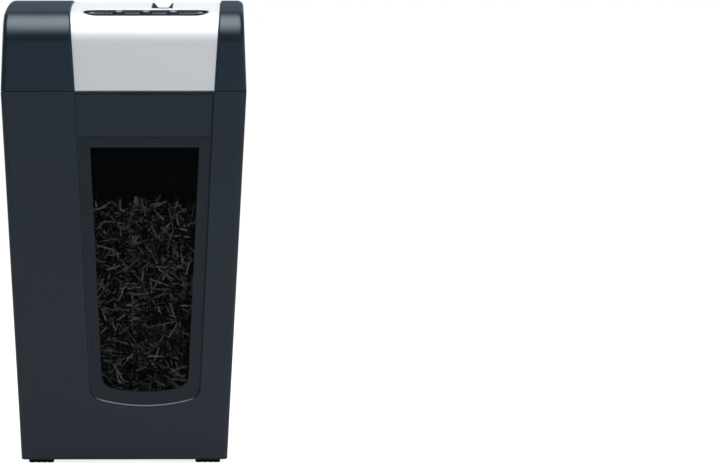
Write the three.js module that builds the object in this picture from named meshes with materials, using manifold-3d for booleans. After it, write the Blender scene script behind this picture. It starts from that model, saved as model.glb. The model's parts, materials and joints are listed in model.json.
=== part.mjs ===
// Slimline desk-side paper shredder: a cutting head that lifts off a waste bin with a window.
// Millimetres, +Z up. The front faces -Y and +X is on the right of someone who faces it.
// The origin is on the floor under the middle of the whole outline, rear switch included.
import * as THREE from "three";
import { ConvexGeometry } from "three/addons/geometries/ConvexGeometry.js";
import { mergeVertices } from "three/addons/utils/BufferGeometryUtils.js";
import Module from "manifold-3d";

const wasm = await Module();
wasm.setup();

// ---------------------------------------------------------------- driving dimensions
const height = 400; // floor to the crown of the top
const seamZ = 322; // where the head meets the bin
const footHeight = 3;
const halfWidth = 106; // both halves are given at the seam, where the case is widest
const halfDepth = 180;
const wall = 2.5;
const gap = 0.3; // clearance between pieces that touch
const edgeRadius = 5; // rounding round each side face
const crownRadius = 1350; // the top is one long arc from front to back
const cornerRadius = 26; // crown to front face, and crown to rear face
const headEndLean = 0.063; // inward lean per millimetre of height
const headSideLean = 0.036;
const binEndTaper = 0.0555;
const binSideTaper = 0.0535;
const seamHalfGap = 0.5;
const headLowZ = seamZ + seamHalfGap;
const binTopZ = seamZ - seamHalfGap;

const switchProud = 5; // the rear rocker stands this far behind the case
const shellY = -switchProud / 2; // the case's own middle, seen from the origin

const bandX = 18; // the bright band and the window sit right of the middle
const bandHalfAtSeam = 60.2;
const bandTaper = 0.0477;
const fasciaSink = 2; // the bright top cover lies this far below the black cheeks
const fasciaThick = 2.5;

const throatX = 32.4;
const throatHalfLength = 113; // takes a 210 mm sheet
const throatSlotHalf = 3;

const cutterZ = 332;
const cutterSpacing = 30;
const leftCutterX = throatX - cutterSpacing / 2;
const rightCutterX = throatX + cutterSpacing / 2;
const discPitch = 11.2;
const discThick = 5.2;
const discRadius = 18;
const leftDiscs = 20;
const plateY = 114; // inner face of each steel end plate
const plateThick = 2.5;

const motorX = -48;
const motorZ = 338;
const tubFloorZ = 291.5; // underside of the head's sunken tub

// ---------------------------------------------------------------- materials
const finish = (color, roughness, metalness = 0) =>
  new THREE.MeshStandardMaterial({ color, roughness, metalness });
const casePlastic = finish(0x2d333a, 0.5);
const silverPlastic = finish(0xbcc0c4, 0.35, 0.5);
const insertPlastic = finish(0x15191c, 0.45);
const glossBlack = finish(0x0a0c0e, 0.12);
const smokedWindow = finish(0x1a1d20, 0.08);
const footRubber = finish(0x101112, 0.85);
const hardSteel = finish(0x8b8f94, 0.32, 1);
const plateSteel = finish(0xa3a7aa, 0.42, 1);
const gearNylon = finish(0xe4ded0, 0.5);
const gearSteel = finish(0x6f7377, 0.38, 1);
const bronze = finish(0xa77b45, 0.4, 1);
const motorSteel = finish(0x777c80, 0.4, 1);
const copper = finish(0xb5663a, 0.45, 1);
const boardGreen = finish(0x1e5b38, 0.55);
const combPlastic = finish(0x24282b, 0.6);
const lensClear = finish(0xdfe8ea, 0.15);
const buttonPlastic = finish(0x1b1f22, 0.3);

// ---------------------------------------------------------------- small tools
function solid(geometry) {
  const flat = geometry.index ? geometry.toNonIndexed() : geometry;
  const bare = new THREE.BufferGeometry().setAttribute("position", flat.getAttribute("position"));
  const merged = mergeVertices(bare, 1e-4);
  const vertProperties = merged.attributes.position.array;
  const triVerts = new Uint32Array(merged.index.array);
  return new wasm.Manifold(new wasm.Mesh({ numProp: 3, vertProperties, triVerts }));
}

function geometryOf(body) {
  const mesh = body.getMesh();
  const geometry = new THREE.BufferGeometry();
  geometry.setAttribute("position", new THREE.BufferAttribute(new Float32Array(mesh.vertProperties), 3));
  geometry.setIndex(new THREE.BufferAttribute(mesh.triVerts, 1));
  geometry.computeVertexNormals();
  return geometry;
}

const joined = (bodies) => bodies.reduce((all, body) => all.add(body));

// Moves every vertex of a geometry; move changes the point that it is given.
function warp(geometry, move) {
  const place = geometry.getAttribute("position");
  const point = new THREE.Vector3();
  for (let i = 0; i < place.count; i++) {
    move(point.fromBufferAttribute(place, i));
    place.setXYZ(i, point.x, point.y, point.z);
  }
  return geometry;
}

// Left-hand copy of a right-hand geometry, with its faces turned back outwards.
function mirroredX(geometry) {
  const copy = (geometry.index ? geometry.toNonIndexed() : geometry.clone()).scale(-1, 1, 1);
  const place = copy.getAttribute("position");
  const a = new THREE.Vector3();
  const b = new THREE.Vector3();
  for (let i = 0; i < place.count; i += 3) {
    a.fromBufferAttribute(place, i);
    b.fromBufferAttribute(place, i + 1);
    place.setXYZ(i, b.x, b.y, b.z);
    place.setXYZ(i + 1, a.x, a.y, a.z);
  }
  return copy;
}

function block(x0, x1, y0, y1, z0, z1) {
  const box = new THREE.BoxGeometry(x1 - x0, y1 - y0, z1 - z0);
  return solid(box.translate((x0 + x1) / 2, (y0 + y1) / 2, (z0 + z1) / 2));
}

// A shape drawn in (y, z) and run along X, or drawn in (x, z) and run along Y. round cuts the
// end edges back by that much, in steps: 1 is a chamfer, more is a rounding.
const alongX = new THREE.Matrix4().makeBasis(
  new THREE.Vector3(0, 1, 0),
  new THREE.Vector3(0, 0, 1),
  new THREE.Vector3(1, 0, 0),
);

function extrude(shape, length, round, steps) {
  const bevelEnabled = round > 0;
  const bevel = { bevelThickness: round, bevelSize: round, bevelOffset: -round, bevelSegments: steps };
  return new THREE.ExtrudeGeometry(shape, { depth: length - 2 * round, bevelEnabled, ...bevel });
}

const runAlongX = (shape, x0, x1, round = 0, steps = 1) =>
  extrude(shape, x1 - x0, round, steps).applyMatrix4(alongX).translate(x0 + round, 0, 0);
const runAlongY = (shape, y0, y1, round = 0, steps = 1) =>
  extrude(shape, y1 - y0, round, steps).rotateX(Math.PI / 2).translate(0, y1 - round, 0);
const runAlongZ = (shape, z0, z1, round = 0, steps = 1) =>
  extrude(shape, z1 - z0, round, steps).translate(0, 0, z0 + round);

// A block round an axis along Y, given by its middle and its half sizes in (x, z).
const slotAlongY = (x, z, halfX, halfZ, y0, y1) => block(x - halfX, x + halfX, y0, y1, z - halfZ, z + halfZ);

// A turned piece on an axis along Y: each step is [radius, y], from one end to the other.
function turned(x, z, steps, sides = 16) {
  const profile = steps.map(([radius, y]) => new THREE.Vector2(radius, y));
  return new THREE.LatheGeometry(profile, sides).translate(x, 0, z);
}

// The same on an upright axis: each step is [radius, z].
function upright(x, y, steps, sides = 12) {
  const profile = steps.map(([radius, z]) => new THREE.Vector2(radius, z));
  return new THREE.LatheGeometry(profile, sides).rotateX(Math.PI / 2).translate(x, y, 0);
}

const rod = (radius, from, to) => [[0, from], [radius, from], [radius, to], [0, to]];
const bar = (x, z, radius, y0, y1, sides = 12) => turned(x, z, rod(radius, y0, y1), sides);
const post = (x, y, radius, z0, z1, sides = 12) => upright(x, y, rod(radius, z0, z1), sides);

// Points along an arc, both ends included.
function arcPoints(cx, cy, radius, from, to, steps) {
  return Array.from({ length: steps + 1 }, (_, i) => {
    const angle = from + ((to - from) * i) / steps;
    return new THREE.Vector2(cx + radius * Math.cos(angle), cy + radius * Math.sin(angle));
  });
}

function roundedRectangle(cx, cy, halfX, halfY, radius, steps = 3) {
  const corners = [[1, 1], [-1, 1], [-1, -1], [1, -1]];
  const points = corners.flatMap(([i, j], quarter) => {
    const from = (quarter * Math.PI) / 2;
    const [x, y] = [cx + i * (halfX - radius), cy + j * (halfY - radius)];
    return arcPoints(x, y, radius, from, from + Math.PI / 2, steps);
  });
  return new THREE.Shape(points);
}

// An arch: two sides that lean in, closed by one wide arc, with rounded corners between them.
// half is the half width at baseZ, and the wide arc is centred on (0, centreZ).
function arch({ half, baseZ, lean, centreZ, radius, corner, lowZ, cornerSteps = 4, crownSteps = 10 }) {
  const cornerX = (z) => half - (z - baseZ) * lean - corner * Math.hypot(1, lean);
  let z = centreZ + radius - corner;
  for (let i = 0; i < 20; i++) z = centreZ + Math.sqrt((radius - corner) ** 2 - cornerX(z) ** 2);
  const x = cornerX(z);
  const start = Math.atan(lean);
  const end = Math.atan2(z - centreZ, x);
  const foot = half - (lowZ - baseZ) * lean;
  return new THREE.Shape([
    new THREE.Vector2(foot, lowZ),
    ...arcPoints(x, z, corner, start, end, cornerSteps),
    ...arcPoints(0, centreZ, radius, end, Math.PI - end, crownSteps).slice(1, -1),
    ...arcPoints(-x, z, corner, Math.PI - end, Math.PI - start, cornerSteps),
    new THREE.Vector2(-foot, lowZ),
  ]);
}

// ---------------------------------------------------------------- the case's own surfaces
const headSide = (z) => halfWidth - (z - seamZ) * headSideLean;
const binSide = (z) => halfWidth - (seamZ - z) * binSideTaper;
const binFront = (z) => -halfDepth + (seamZ - z) * binEndTaper;
const crownCentreZ = height - crownRadius;

const headOutline = (inset, lowZ) =>
  arch({
    half: halfDepth - inset * Math.hypot(1, headEndLean),
    baseZ: seamZ,
    lean: headEndLean,
    centreZ: crownCentreZ,
    radius: crownRadius - inset,
    corner: cornerRadius - inset,
    lowZ,
  });

function binOutline(inset) {
  const half = (z) => -binFront(z) - inset;
  const shape = new THREE.Shape();
  const ends = [-20, seamZ + 20];
  shape.moveTo(half(ends[0]), ends[0]);
  shape.lineTo(half(ends[1]), ends[1]);
  shape.lineTo(-half(ends[1]), ends[1]);
  shape.lineTo(-half(ends[0]), ends[0]);
  shape.closePath();
  return shape;
}

// The case at an inset, as a block that runs past the seam and is cut off there.
function casing(outline, side, inset, steps, z0, z1) {
  const half = halfWidth - inset;
  const round = Math.max(edgeRadius - inset, 1);
  const raw = runAlongX(outline, -half, half, round, steps);
  const shaped = warp(raw, (p) => (p.x *= (side(p.z) - inset) / half));
  return solid(shaped).intersect(block(-200, 200, -300, 300, z0, z1));
}

// ---------------------------------------------------------------- the bright band on the front
const shoulderZ = 380; // the band flares out up to here, and keeps its width over the crown
const shoulderFlare = 0.0672;

// Elevation of the band in (x, z) between lowZ and highZ, grown by margin all round.
function bandPrism(margin, lowZ, highZ, y0, y1) {
  const half = (z) => bandHalfAtSeam + margin + (Math.min(z, shoulderZ) - seamZ) * shoulderFlare;
  const right = [lowZ, shoulderZ, highZ].map((z) => new THREE.Vector2(bandX + half(z), z));
  const left = [highZ, shoulderZ, lowZ].map((z) => new THREE.Vector2(bandX - half(z), z));
  return solid(runAlongY(new THREE.Shape([...right, ...left]), y0, y1));
}

// A hanging arch in the bin's front, measured at an inset from the band's own edge. It closes
// below in one wide arc round a centre on the band's middle line.
const archCentreZ = 202;
const archRadius = 151;

function hangingArch(inset, corner, topZ) {
  const up = arch({
    half: bandHalfAtSeam - inset * Math.hypot(1, bandTaper),
    baseZ: -seamZ,
    lean: bandTaper,
    centreZ: -archCentreZ,
    radius: archRadius - inset,
    corner,
    lowZ: -topZ,
  });
  return new THREE.Shape(up.getPoints().map((p) => new THREE.Vector2(p.x + bandX, -p.y)));
}

// The same arch cut into the leaning front face, from outside it to a depth behind it.
function frontCut(shape, depth0, depth1, chamfer = 0) {
  const raw = runAlongY(shape, -halfDepth + depth0, -halfDepth + depth1, chamfer);
  return solid(warp(raw, (p) => (p.y += (seamZ - p.z) * binEndTaper)));
}

// ---------------------------------------------------------------- bin
const sideRecessHalf = 138.4;
const lipZ = 319.9; // the bin's rim stands out of the side and front recesses above this
const binRecessDepth = (z) => 9.5 - (seamZ - z) * 0.0172;
const rimRecessDepth = 7.3; // of the side recess across the rim, and of the front one
const rimFrontDepth = 1;
const frontRecessDepth = 2.5;
const archCorner = 10; // corner radii of the front recess, the pane and the clear window
const paneInset = 3;
const paneCorner = 7;
const windowInset = 10.9;
const windowCorner = 12;
const paneThick = 2;
const paneTopZ = 282;
const windowTopZ = 273.4;
const rimInnerX = 88.5;
const rimInnerY = 171;
const rimLowZ = 318.5;
const strikerX = -50;
const strikerY = 166;
const footX = 72;
const footY = 145;
const floorZ = footHeight + wall; // the bin's floor, inside
const strikerLowZ = 288;
const strikerTopZ = 315.5;
const everywhere = 200; // half size of a cutting block that is wider than the case

// A trough with 45 degree walls, sunk into one side face of the bin between two heights.
function sideTrough(sign, z0, z1, depthAt, half, reach) {
  const points = [z0, z1].flatMap((z) =>
    [[binSide(z) + reach, half + reach], [binSide(z) - depthAt(z), half - depthAt(z)]].flatMap(([x, y]) => [
      new THREE.Vector3(sign * x, y, z),
      new THREE.Vector3(sign * x, -y, z),
    ]),
  );
  return solid(new ConvexGeometry(points));
}

function binShell() {
  const outer = casing(binOutline(0), binSide, 0, 4, footHeight, binTopZ);
  let hollow = casing(binOutline(wall), binSide, wall, 1, floorZ, rimLowZ);
  const cuts = [];
  for (const sign of [-1, 1]) {
    cuts.push(sideTrough(sign, -1, lipZ, binRecessDepth, sideRecessHalf, 10));
    cuts.push(sideTrough(sign, lipZ - 0.5, seamZ + 5, () => rimRecessDepth, sideRecessHalf, 10));
    const behind = (z) => binRecessDepth(z) + wall;
    hollow = hollow.subtract(sideTrough(sign, -2, seamZ + 6, behind, sideRecessHalf + wall * Math.SQRT2, 12));
  }
  const backing = frontRecessDepth + paneThick + wall;
  hollow = hollow.subtract(frontCut(hangingArch(-4, 14, seamZ + 20), -20, backing));
  hollow = hollow.add(block(-rimInnerX, rimInnerX, -rimInnerY, rimInnerY, rimLowZ - 0.5, seamZ + 5));
  const rimBand = block(-everywhere, everywhere, -everywhere, 0, lipZ - 1, seamZ + 4);
  const paneSeatDepth = frontRecessDepth + paneThick + gap;
  cuts.push(frontCut(hangingArch(0, archCorner, lipZ), -20, frontRecessDepth, frontRecessDepth));
  cuts.push(frontCut(hangingArch(0, archCorner, seamZ + 5), -20, rimFrontDepth).intersect(rimBand));
  cuts.push(frontCut(hangingArch(paneInset - gap, paneCorner, paneTopZ + gap), 0, paneSeatDepth));
  cuts.push(frontCut(hangingArch(windowInset, windowCorner, windowTopZ), 0, 20));
  for (const x of [-footX, footX]) {
    for (const y of [-footY, footY]) cuts.push(solid(post(x, y, 3.6, 0, floorZ + 1)));
  }
  const rib = [strikerX - 4, strikerX + 4, strikerY - 8, halfDepth - 2];
  return outer.subtract(hollow).subtract(joined(cuts)).add(block(...rib, strikerLowZ, strikerTopZ));
}

function windowPane() {
  const outline = hangingArch(paneInset, paneCorner, paneTopZ);
  return frontCut(outline, frontRecessDepth, frontRecessDepth + paneThick);
}

// A push-in foot: a square rubber pad with a peg that snaps through the bin's floor.
const footHalf = 10.75;

function foot(x, y) {
  const outline = roundedRectangle(x, y, footHalf, footHalf, 4, 2);
  const pad = solid(runAlongZ(outline, 0, footHeight - gap, 0.8));
  return pad.add(solid(post(x, y, 3, footHeight - 1, 9)));
}

// ---------------------------------------------------------------- head casing
const recessHalf = 137;
const recessInset = 34.8; // crown of the side recess below the crown of the top
const recessDepth = 8;
const recessLean = 0.02;
const recessCorner = 10;
const switchX = 62;
const switchZ = 331;
const glandX = 24;
const bossX = 78;
const bossY = 165.5;
const ventPitch = 10.25;
const ventTopZ = 347;
const frontVentY = -72.2;
const rearVentY = 58.3;
const slitHalfLow = 1.65;
const slitHalfTop = 0.95;
const boardHalf = 56;
const boardTopZ = 374.6;
const panelX = 18.9;
const panelHalfX = 54;
const panelY = -144;
const panelHalfY = 17;
const panelCorner = 11;
const panelPostY = -135; // two posts press the board up from the shell
const rearEndZ = 372; // the bright cover ends here on the rear corner
const bossLowZ = 324.8; // underside of the screw bosses
const switchHole = [9, 6]; // half sizes
const glandHole = 6.3;

function headRecess(sign, grow) {
  const shape = arch({
    half: recessHalf + grow * Math.SQRT2,
    baseZ: seamZ,
    lean: recessLean,
    centreZ: crownCentreZ,
    radius: crownRadius - recessInset + grow * Math.SQRT2,
    corner: recessCorner + grow,
    lowZ: seamZ - 30,
  });
  const depth = recessDepth + grow;
  const raw = runAlongX(shape, halfWidth - depth, halfWidth + 20, depth);
  const leaned = warp(raw, (p) => (p.x -= (p.z - seamZ) * headSideLean));
  return solid(sign > 0 ? leaned : mirroredX(leaned));
}

// One tapered cooling slit, open at the recess's lower edge.
function ventSlit(sign, y) {
  const half = (z) => (z > headLowZ ? slitHalfTop : slitHalfLow);
  const points = [];
  for (const z of [headLowZ - 4, ventTopZ]) {
    for (const x of [halfWidth - 16, halfWidth - 4]) {
      for (const side of [-1, 1]) points.push(new THREE.Vector3(sign * x, y + side * half(z), z));
    }
  }
  return solid(new ConvexGeometry(points));
}

function ventSlits() {
  const slits = [];
  for (const sign of [-1, 1]) {
    for (const middle of [frontVentY, rearVentY]) {
      for (let i = 0; i < 6; i++) slits.push(ventSlit(sign, middle + (i - 2.5) * ventPitch));
    }
  }
  return joined(slits);
}

// The layer of the head between two insets from its outer surface.
function headLayer(outerInset, innerInset) {
  const outer = solid(runAlongX(headOutline(outerInset, seamZ - 40), -100, 130));
  return outer.subtract(solid(runAlongX(headOutline(innerInset, seamZ - 50), -110, 140)));
}

// Where the bright cover lies: front face, crown and rear corner, but not the rear face.
function fasciaRegion(margin, lowZ) {
  const rearFace = block(-everywhere, everywhere, 60, 300, 0, rearEndZ - margin);
  return bandPrism(margin, lowZ, height + 10, -220, 220).subtract(rearFace);
}

function throatPrism(grow) {
  const half = guideHalf + grow;
  const length = throatHalfLength + grow;
  return block(throatX - half, throatX + half, -length, length, guideLowZ, height + 10);
}

function panelPrism(grow) {
  const halves = [panelHalfX + grow, panelHalfY + grow];
  return solid(runAlongZ(roundedRectangle(panelX, panelY, ...halves, panelCorner + grow), 360, height + 10));
}

function headShell() {
  const outer = casing(headOutline(0, seamZ - 20), headSide, 0, 4, headLowZ, height + 1);
  let hollow = casing(headOutline(wall, seamZ - 20), headSide, wall, 1, headLowZ - 10, height + 1);
  const seat = fasciaSink + fasciaThick + gap; // the bright cover's seat, below the outer surface
  const seatCore = solid(runAlongX(headOutline(seat + wall, seamZ - 60), -190, 190));
  hollow = hollow.subtract(fasciaRegion(gap + wall, seamZ - 30).subtract(seatCore));
  for (const sign of [-1, 1]) hollow = hollow.subtract(headRecess(sign, wall));
  let shell = outer.subtract(hollow);
  const ribEnd = halfDepth - 2.4;
  for (const x of [-bossX, bossX]) {
    for (const [y, ...rib] of [[-bossY, -ribEnd, -bossY], [bossY, bossY, ribEnd]]) {
      shell = shell.add(solid(post(x, y, 4.5, bossLowZ, 345)));
      shell = shell.add(block(x - 2, x + 2, ...rib, bossLowZ, 340));
    }
  }
  for (const x of [-1, 1].map((side) => panelX + side * (boardHalf - 3))) {
    shell = shell.add(solid(post(x, panelPostY, 2.2, boardTopZ + gap, 388, 8)));
  }
  const channel = fasciaRegion(gap, seamZ - 30).intersect(headLayer(-20, seat));
  const openings = [
    channel,
    headRecess(-1, 0),
    headRecess(1, 0),
    ventSlits(),
    throatPrism(gap),
    block(panelX - 50, panelX + 50, panelY - 9, panelY + 13, 360, height),
    slotAlongY(switchX, switchZ, ...switchHole, 150, 200),
    solid(bar(glandX, switchZ, glandHole, 150, 200)),
  ];
  for (const x of [[-140, -97.5], [97.5, 140]]) {
    openings.push(block(...x, 4 - recessHalf, recessHalf - 4, headLowZ - 5, headLowZ + 1.1));
  }
  for (const x of [-bossX, bossX]) {
    for (const y of [-bossY, bossY]) openings.push(solid(post(x, y, 1.9, 320, 342, 8)));
  }
  return shell.subtract(joined(openings));
}

function topFascia() {
  const sheet = fasciaRegion(0, headLowZ).intersect(headLayer(fasciaSink, fasciaSink + fasciaThick));
  return sheet.subtract(throatPrism(gap)).subtract(panelPrism(gap));
}

// The black funnel: its top is flush with the bright cover, its mouth follows the crown from end
// to end, and its walls narrow to the slot. Two deep pockets keep the moulding thin.
const guideHalf = 8.8;
const guideLowZ = 352;
const mouthHalf = 8.1;
const funnelSlope = 0.8; // half width lost per millimetre of depth
const funnelDepth = (mouthHalf - throatSlotHalf) / funnelSlope;
const guideEnd = throatHalfLength - 2.5;
const crownDrop = (y) => crownRadius - Math.sqrt(crownRadius ** 2 - y ** 2);

function throatGuide() {
  const flush = solid(runAlongX(headOutline(fasciaSink, 300), 0, 60));
  const funnel = new THREE.Shape(
    [
      [throatSlotHalf, -70],
      [throatSlotHalf, -funnelDepth],
      [mouthHalf + 5 * funnelSlope, 5],
      [-mouthHalf - 5 * funnelSlope, 5],
      [-throatSlotHalf, -funnelDepth],
      [-throatSlotHalf, -70],
    ].map(([x, z]) => new THREE.Vector2(throatX + x, z)),
  );
  const straight = new THREE.ExtrudeGeometry(funnel, { depth: 2 * guideEnd, steps: 10, bevelEnabled: false });
  const curved = warp(straight.rotateX(Math.PI / 2).translate(0, guideEnd, 0), (p) => {
    p.z += height - fasciaSink - crownDrop(p.y);
  });
  const pocketHalf = (guideHalf - throatSlotHalf - 3.1) / 2;
  const pockets = [-1, 1].map((sign) => {
    const x = throatX + sign * (throatSlotHalf + 1.6 + pocketHalf);
    return block(x - pocketHalf, x + pocketHalf, -guideEnd, guideEnd, guideLowZ - 5, 385);
  });
  const beam = block(throatX - 20, throatX + 20, 103, 105, 379, 381);
  return throatPrism(0).intersect(flush).subtract(joined([solid(curved), beam, ...pockets]));
}

// ---------------------------------------------------------------- control panel and buttons
const buttonY = -140.5;
const buttonSpacing = 23.5;
const buttonRadius = 6;
const lensRadius = 2.4;
const panelSink = fasciaSink + 0.4;
const crownTilt = Math.asin(-buttonY / crownRadius);
const panelZ = crownCentreZ + (crownRadius - panelSink) * Math.cos(crownTilt);

// Turned piece on the panel's own normal; each step is [radius, height above the panel].
function onPanel(x, steps, sides) {
  const profile = steps.map(([radius, z]) => new THREE.Vector2(radius, z));
  return new THREE.LatheGeometry(profile, sides)
    .rotateX(Math.PI / 2 + crownTilt)
    .translate(x, buttonY, panelZ);
}

function controlPanel() {
  const sheet = panelPrism(0).intersect(headLayer(panelSink, fasciaSink + fasciaThick));
  const holes = [-2, -1, 0, 1, 2].map((i) => {
    const radius = (Math.abs(i) === 2 ? lensRadius : buttonRadius) + 0.45;
    return solid(onPanel(panelX + i * buttonSpacing, [[0, -6], [radius, -6], [radius, 4], [0, 4]], 16));
  });
  return sheet.subtract(joined(holes));
}

// A cap with a stem under it, and a collar that stops it behind the panel.
function button(x) {
  const stem = [[0, -10.5], [2.2, -10.5], [2.2, -5]];
  const collar = [[buttonRadius + 1.2, -5], [buttonRadius + 1.2, -3.6], [buttonRadius, -3.6]];
  const cap = [[buttonRadius, 0.7], [buttonRadius - 0.8, 1.3], [0, 1.3]];
  return onPanel(x, [...stem, ...collar, ...cap], 16);
}

// A light pipe: a thin leg with a lens on it.
function statusLens(x) {
  const leg = [[0, -8], [1.6, -8], [1.6, -2.6]];
  return onPanel(x, [...leg, [lensRadius, -2.6], [lensRadius, 0.1], [1.5, 0.5], [0, 0.5]], 8);
}

function controlBoard() {
  const board = block(panelX - boardHalf, panelX + boardHalf, -158, -124, boardTopZ - 1.6, boardTopZ);
  const switches = [-1, 0, 1].map((i) => {
    const x = panelX + i * buttonSpacing;
    return block(x - 3, x + 3, buttonY - 2, buttonY + 4, boardTopZ - 0.1, boardTopZ + 2.9);
  });
  const plug = block(panelX - 44, panelX - 28, -136, -128, boardTopZ - 8.6, boardTopZ - 1.5);
  const chip = block(panelX + 26, panelX + 40, -136, -128, boardTopZ - 3.2, boardTopZ - 1.5);
  return joined([board, ...switches, plug, chip]);
}

// ---------------------------------------------------------------- head base
const boardLowZ = 297; // underside of the power board, and where its standoffs are
const boardCorners = [[-72, -103], [-72, -25], [-24, -103], [-24, -25]];
const tubWall = 2.2;
const tubHalfX = 84;
const tubHalfY = 158;
const flangeLowZ = binTopZ + gap;
const flangeTopZ = flangeLowZ + wall;
const outletX = [throatX - 31, throatX + 31];
const outletHalfY = 112;
const interlockPinRadius = 2;

// A box that narrows downwards, as a moulded tub does.
function drafted(halfX, halfY, z0, z1) {
  const draft = 2;
  const corners = [[z1, 0], [z0, draft]].flatMap(([z, cut]) =>
    [-1, 1].flatMap((i) => [-1, 1].map((j) => new THREE.Vector3(i * (halfX - cut), j * (halfY - cut), z))),
  );
  return solid(new ConvexGeometry(corners));
}

function headBase() {
  const inset = wall + gap;
  let flange = casing(headOutline(inset, seamZ - 20), headSide, inset, 1, flangeLowZ, flangeTopZ);
  for (const sign of [-1, 1]) flange = flange.subtract(headRecess(sign, inset));
  const keepClear = fasciaRegion(gap + wall + gap, seamZ - 30);
  const seatInset = fasciaSink + fasciaThick + wall + 3 * gap;
  const seatCore = solid(runAlongX(headOutline(seatInset, seamZ - 60), -190, 190));
  flange = flange.subtract(keepClear.subtract(seatCore));
  const tub = drafted(tubHalfX, tubHalfY, tubFloorZ, flangeLowZ + 1);
  const inside = drafted(tubHalfX - tubWall, tubHalfY - tubWall, tubFloorZ + tubWall, flangeTopZ + 1);
  const holes = [
    inside,
    block(...outletX, -outletHalfY, outletHalfY, tubFloorZ - 5, tubFloorZ + 5),
    solid(post(strikerX, strikerY, interlockPinRadius + 0.5, 310, 330)),
  ];
  for (const x of [-bossX, bossX]) {
    for (const y of [-bossY, bossY]) holes.push(solid(post(x, y, 2.4, 310, 330)));
  }
  const standoffs = boardCorners.map(([x, y]) => solid(post(x, y, 3, tubFloorZ + 1, boardLowZ - gap, 8)));
  return joined([flange.add(tub).subtract(joined(holes)), ...standoffs]);
}

// Self-tapping screws that hold the base to the shell's bosses from below.
const baseScrew = (x, y) =>
  upright(x, y, [[0, 319.1], [3.6, 319.1], [3.6, 321.5], [1.5, 321.5], [1.5, 336], [0, 338]], 8);

// ---------------------------------------------------------------- cutting block
const plateLowZ = 299;
const rearPlateTopZ = 376;
const shaftRadius = 5;
const bushRadius = 9;
const tieRods = [[throatX - 41, 306], [throatX - 24, 357], [throatX + 41, 306], [throatX + 24, 357]];
const leftDiscY = (i) => (i - (leftDiscs - 1) / 2) * discPitch;

const gearCentres = (() => {
  const bearing = THREE.MathUtils.degToRad(146.3); // of the second idler, seen from the left cutter
  const second = { x: leftCutterX + 36 * Math.cos(bearing), z: cutterZ + 36 * Math.sin(bearing) };
  const first = { x: motorX, z: motorZ };
  const [near, far] = [30, 32.5]; // first idler to motor, first idler to second
  const span = Math.hypot(second.x - first.x, second.z - first.z);
  const along = (near * near - far * far + span * span) / (2 * span);
  const off = Math.sqrt(near * near - along * along);
  const [ux, uz] = [(second.x - first.x) / span, (second.z - first.z) / span];
  return { second, first: { x: first.x + along * ux + off * uz, z: first.z + along * uz - off * ux } };
})();

function endPlate(x0, x1, y0, y1, topZ, holes) {
  const middle = [(x0 + x1) / 2, (plateLowZ + topZ) / 2];
  const outline = roundedRectangle(...middle, (x1 - x0) / 2, (topZ - plateLowZ) / 2, 5);
  const plate = solid(runAlongY(outline, y0, y1));
  return plate.subtract(joined(holes.map(([x, z, radius]) => solid(bar(x, z, radius, y0 - 2, y1 + 2, 16)))));
}

const sharedHoles = [
  [leftCutterX, cutterZ, bushRadius + gap],
  [rightCutterX, cutterZ, bushRadius + gap],
  ...tieRods.map(([x, z]) => [x, z, 2.6]),
];
const plateHalf = 45;
const frontPlate = () =>
  endPlate(throatX - plateHalf, throatX + plateHalf, -plateY - plateThick, -plateY, 362, sharedHoles);
const rearPlate = () =>
  endPlate(-77, throatX + plateHalf, plateY, plateY + plateThick, rearPlateTopZ, [
    ...sharedHoles,
    [motorX, motorZ, 8],
    [gearCentres.first.x, gearCentres.first.z, 2],
    [gearCentres.second.x, gearCentres.second.z, 2],
  ]);

// Tie rod: a shouldered rod with a necked end through each plate and a riveted head outside.
function tieRod([x, z]) {
  const inner = plateY - gap;
  const outer = plateY + plateThick + gap;
  const half = [[3, inner], [2.2, inner], [2.2, outer], [3.6, outer], [3.6, outer + 2], [0, outer + 2]];
  const mirrored = half.map(([radius, y]) => [radius, -y]).reverse();
  return turned(x, z, [...mirrored, ...half], 8);
}

const bush = (x, side) => {
  const [near, far] = [111.5, plateY + plateThick].map((y) => side * y).sort((a, b) => a - b);
  const ring = [[shaftRadius + 0.45, near], [bushRadius, near], [bushRadius, far], [shaftRadius + 0.45, far]];
  return turned(x, cutterZ, [...ring, ring[0]], 16);
};

// A cutter: hooked discs and plain spacers stacked on a shaft that runs between two ends.
function cutterShaft(x, discYs, y0, y1) {
  const teeth = 4;
  const at = (radius, angle) =>
    new THREE.Vector2(x + radius * Math.cos(angle), cutterZ + radius * Math.sin(angle));
  const points = [];
  for (let i = 0; i < teeth; i++) {
    const turn = (i / teeth) * 2 * Math.PI;
    points.push(at(discRadius, turn), at(discRadius - 2.6, turn + 0.12), at(discRadius - 0.9, turn + 0.75));
  }
  const outline = new THREE.Shape(points);
  const discs = discYs.map((y) => solid(runAlongY(outline, y - discThick / 2, y + discThick / 2)));
  const core = solid(bar(x, cutterZ, 10.5, -109.5, 109.5, 8));
  return joined([solid(bar(x, cutterZ, shaftRadius, y0, y1, 12)), core, ...discs]);
}

// A stripper comb: a bar outside the cutter with one finger in each gap between its discs.
function comb(cutterX, sign, fingerYs) {
  const barX = [cutterX + sign * 19.2, cutterX + sign * 24.5].sort((a, b) => a - b);
  const tip = [cutterX + sign * 11.4, cutterX + sign * 20].sort((a, b) => a - b);
  const back = block(...barX, -plateY + gap, plateY - gap, 318, 346);
  return joined([back, ...fingerYs.map((y) => block(...tip, y - 2.3, y + 2.3, 320, 344))]);
}

// ---------------------------------------------------------------- gears, drawn in (x, z)
const slack = 0.16; // each flank is set back by this share of a module

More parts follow.
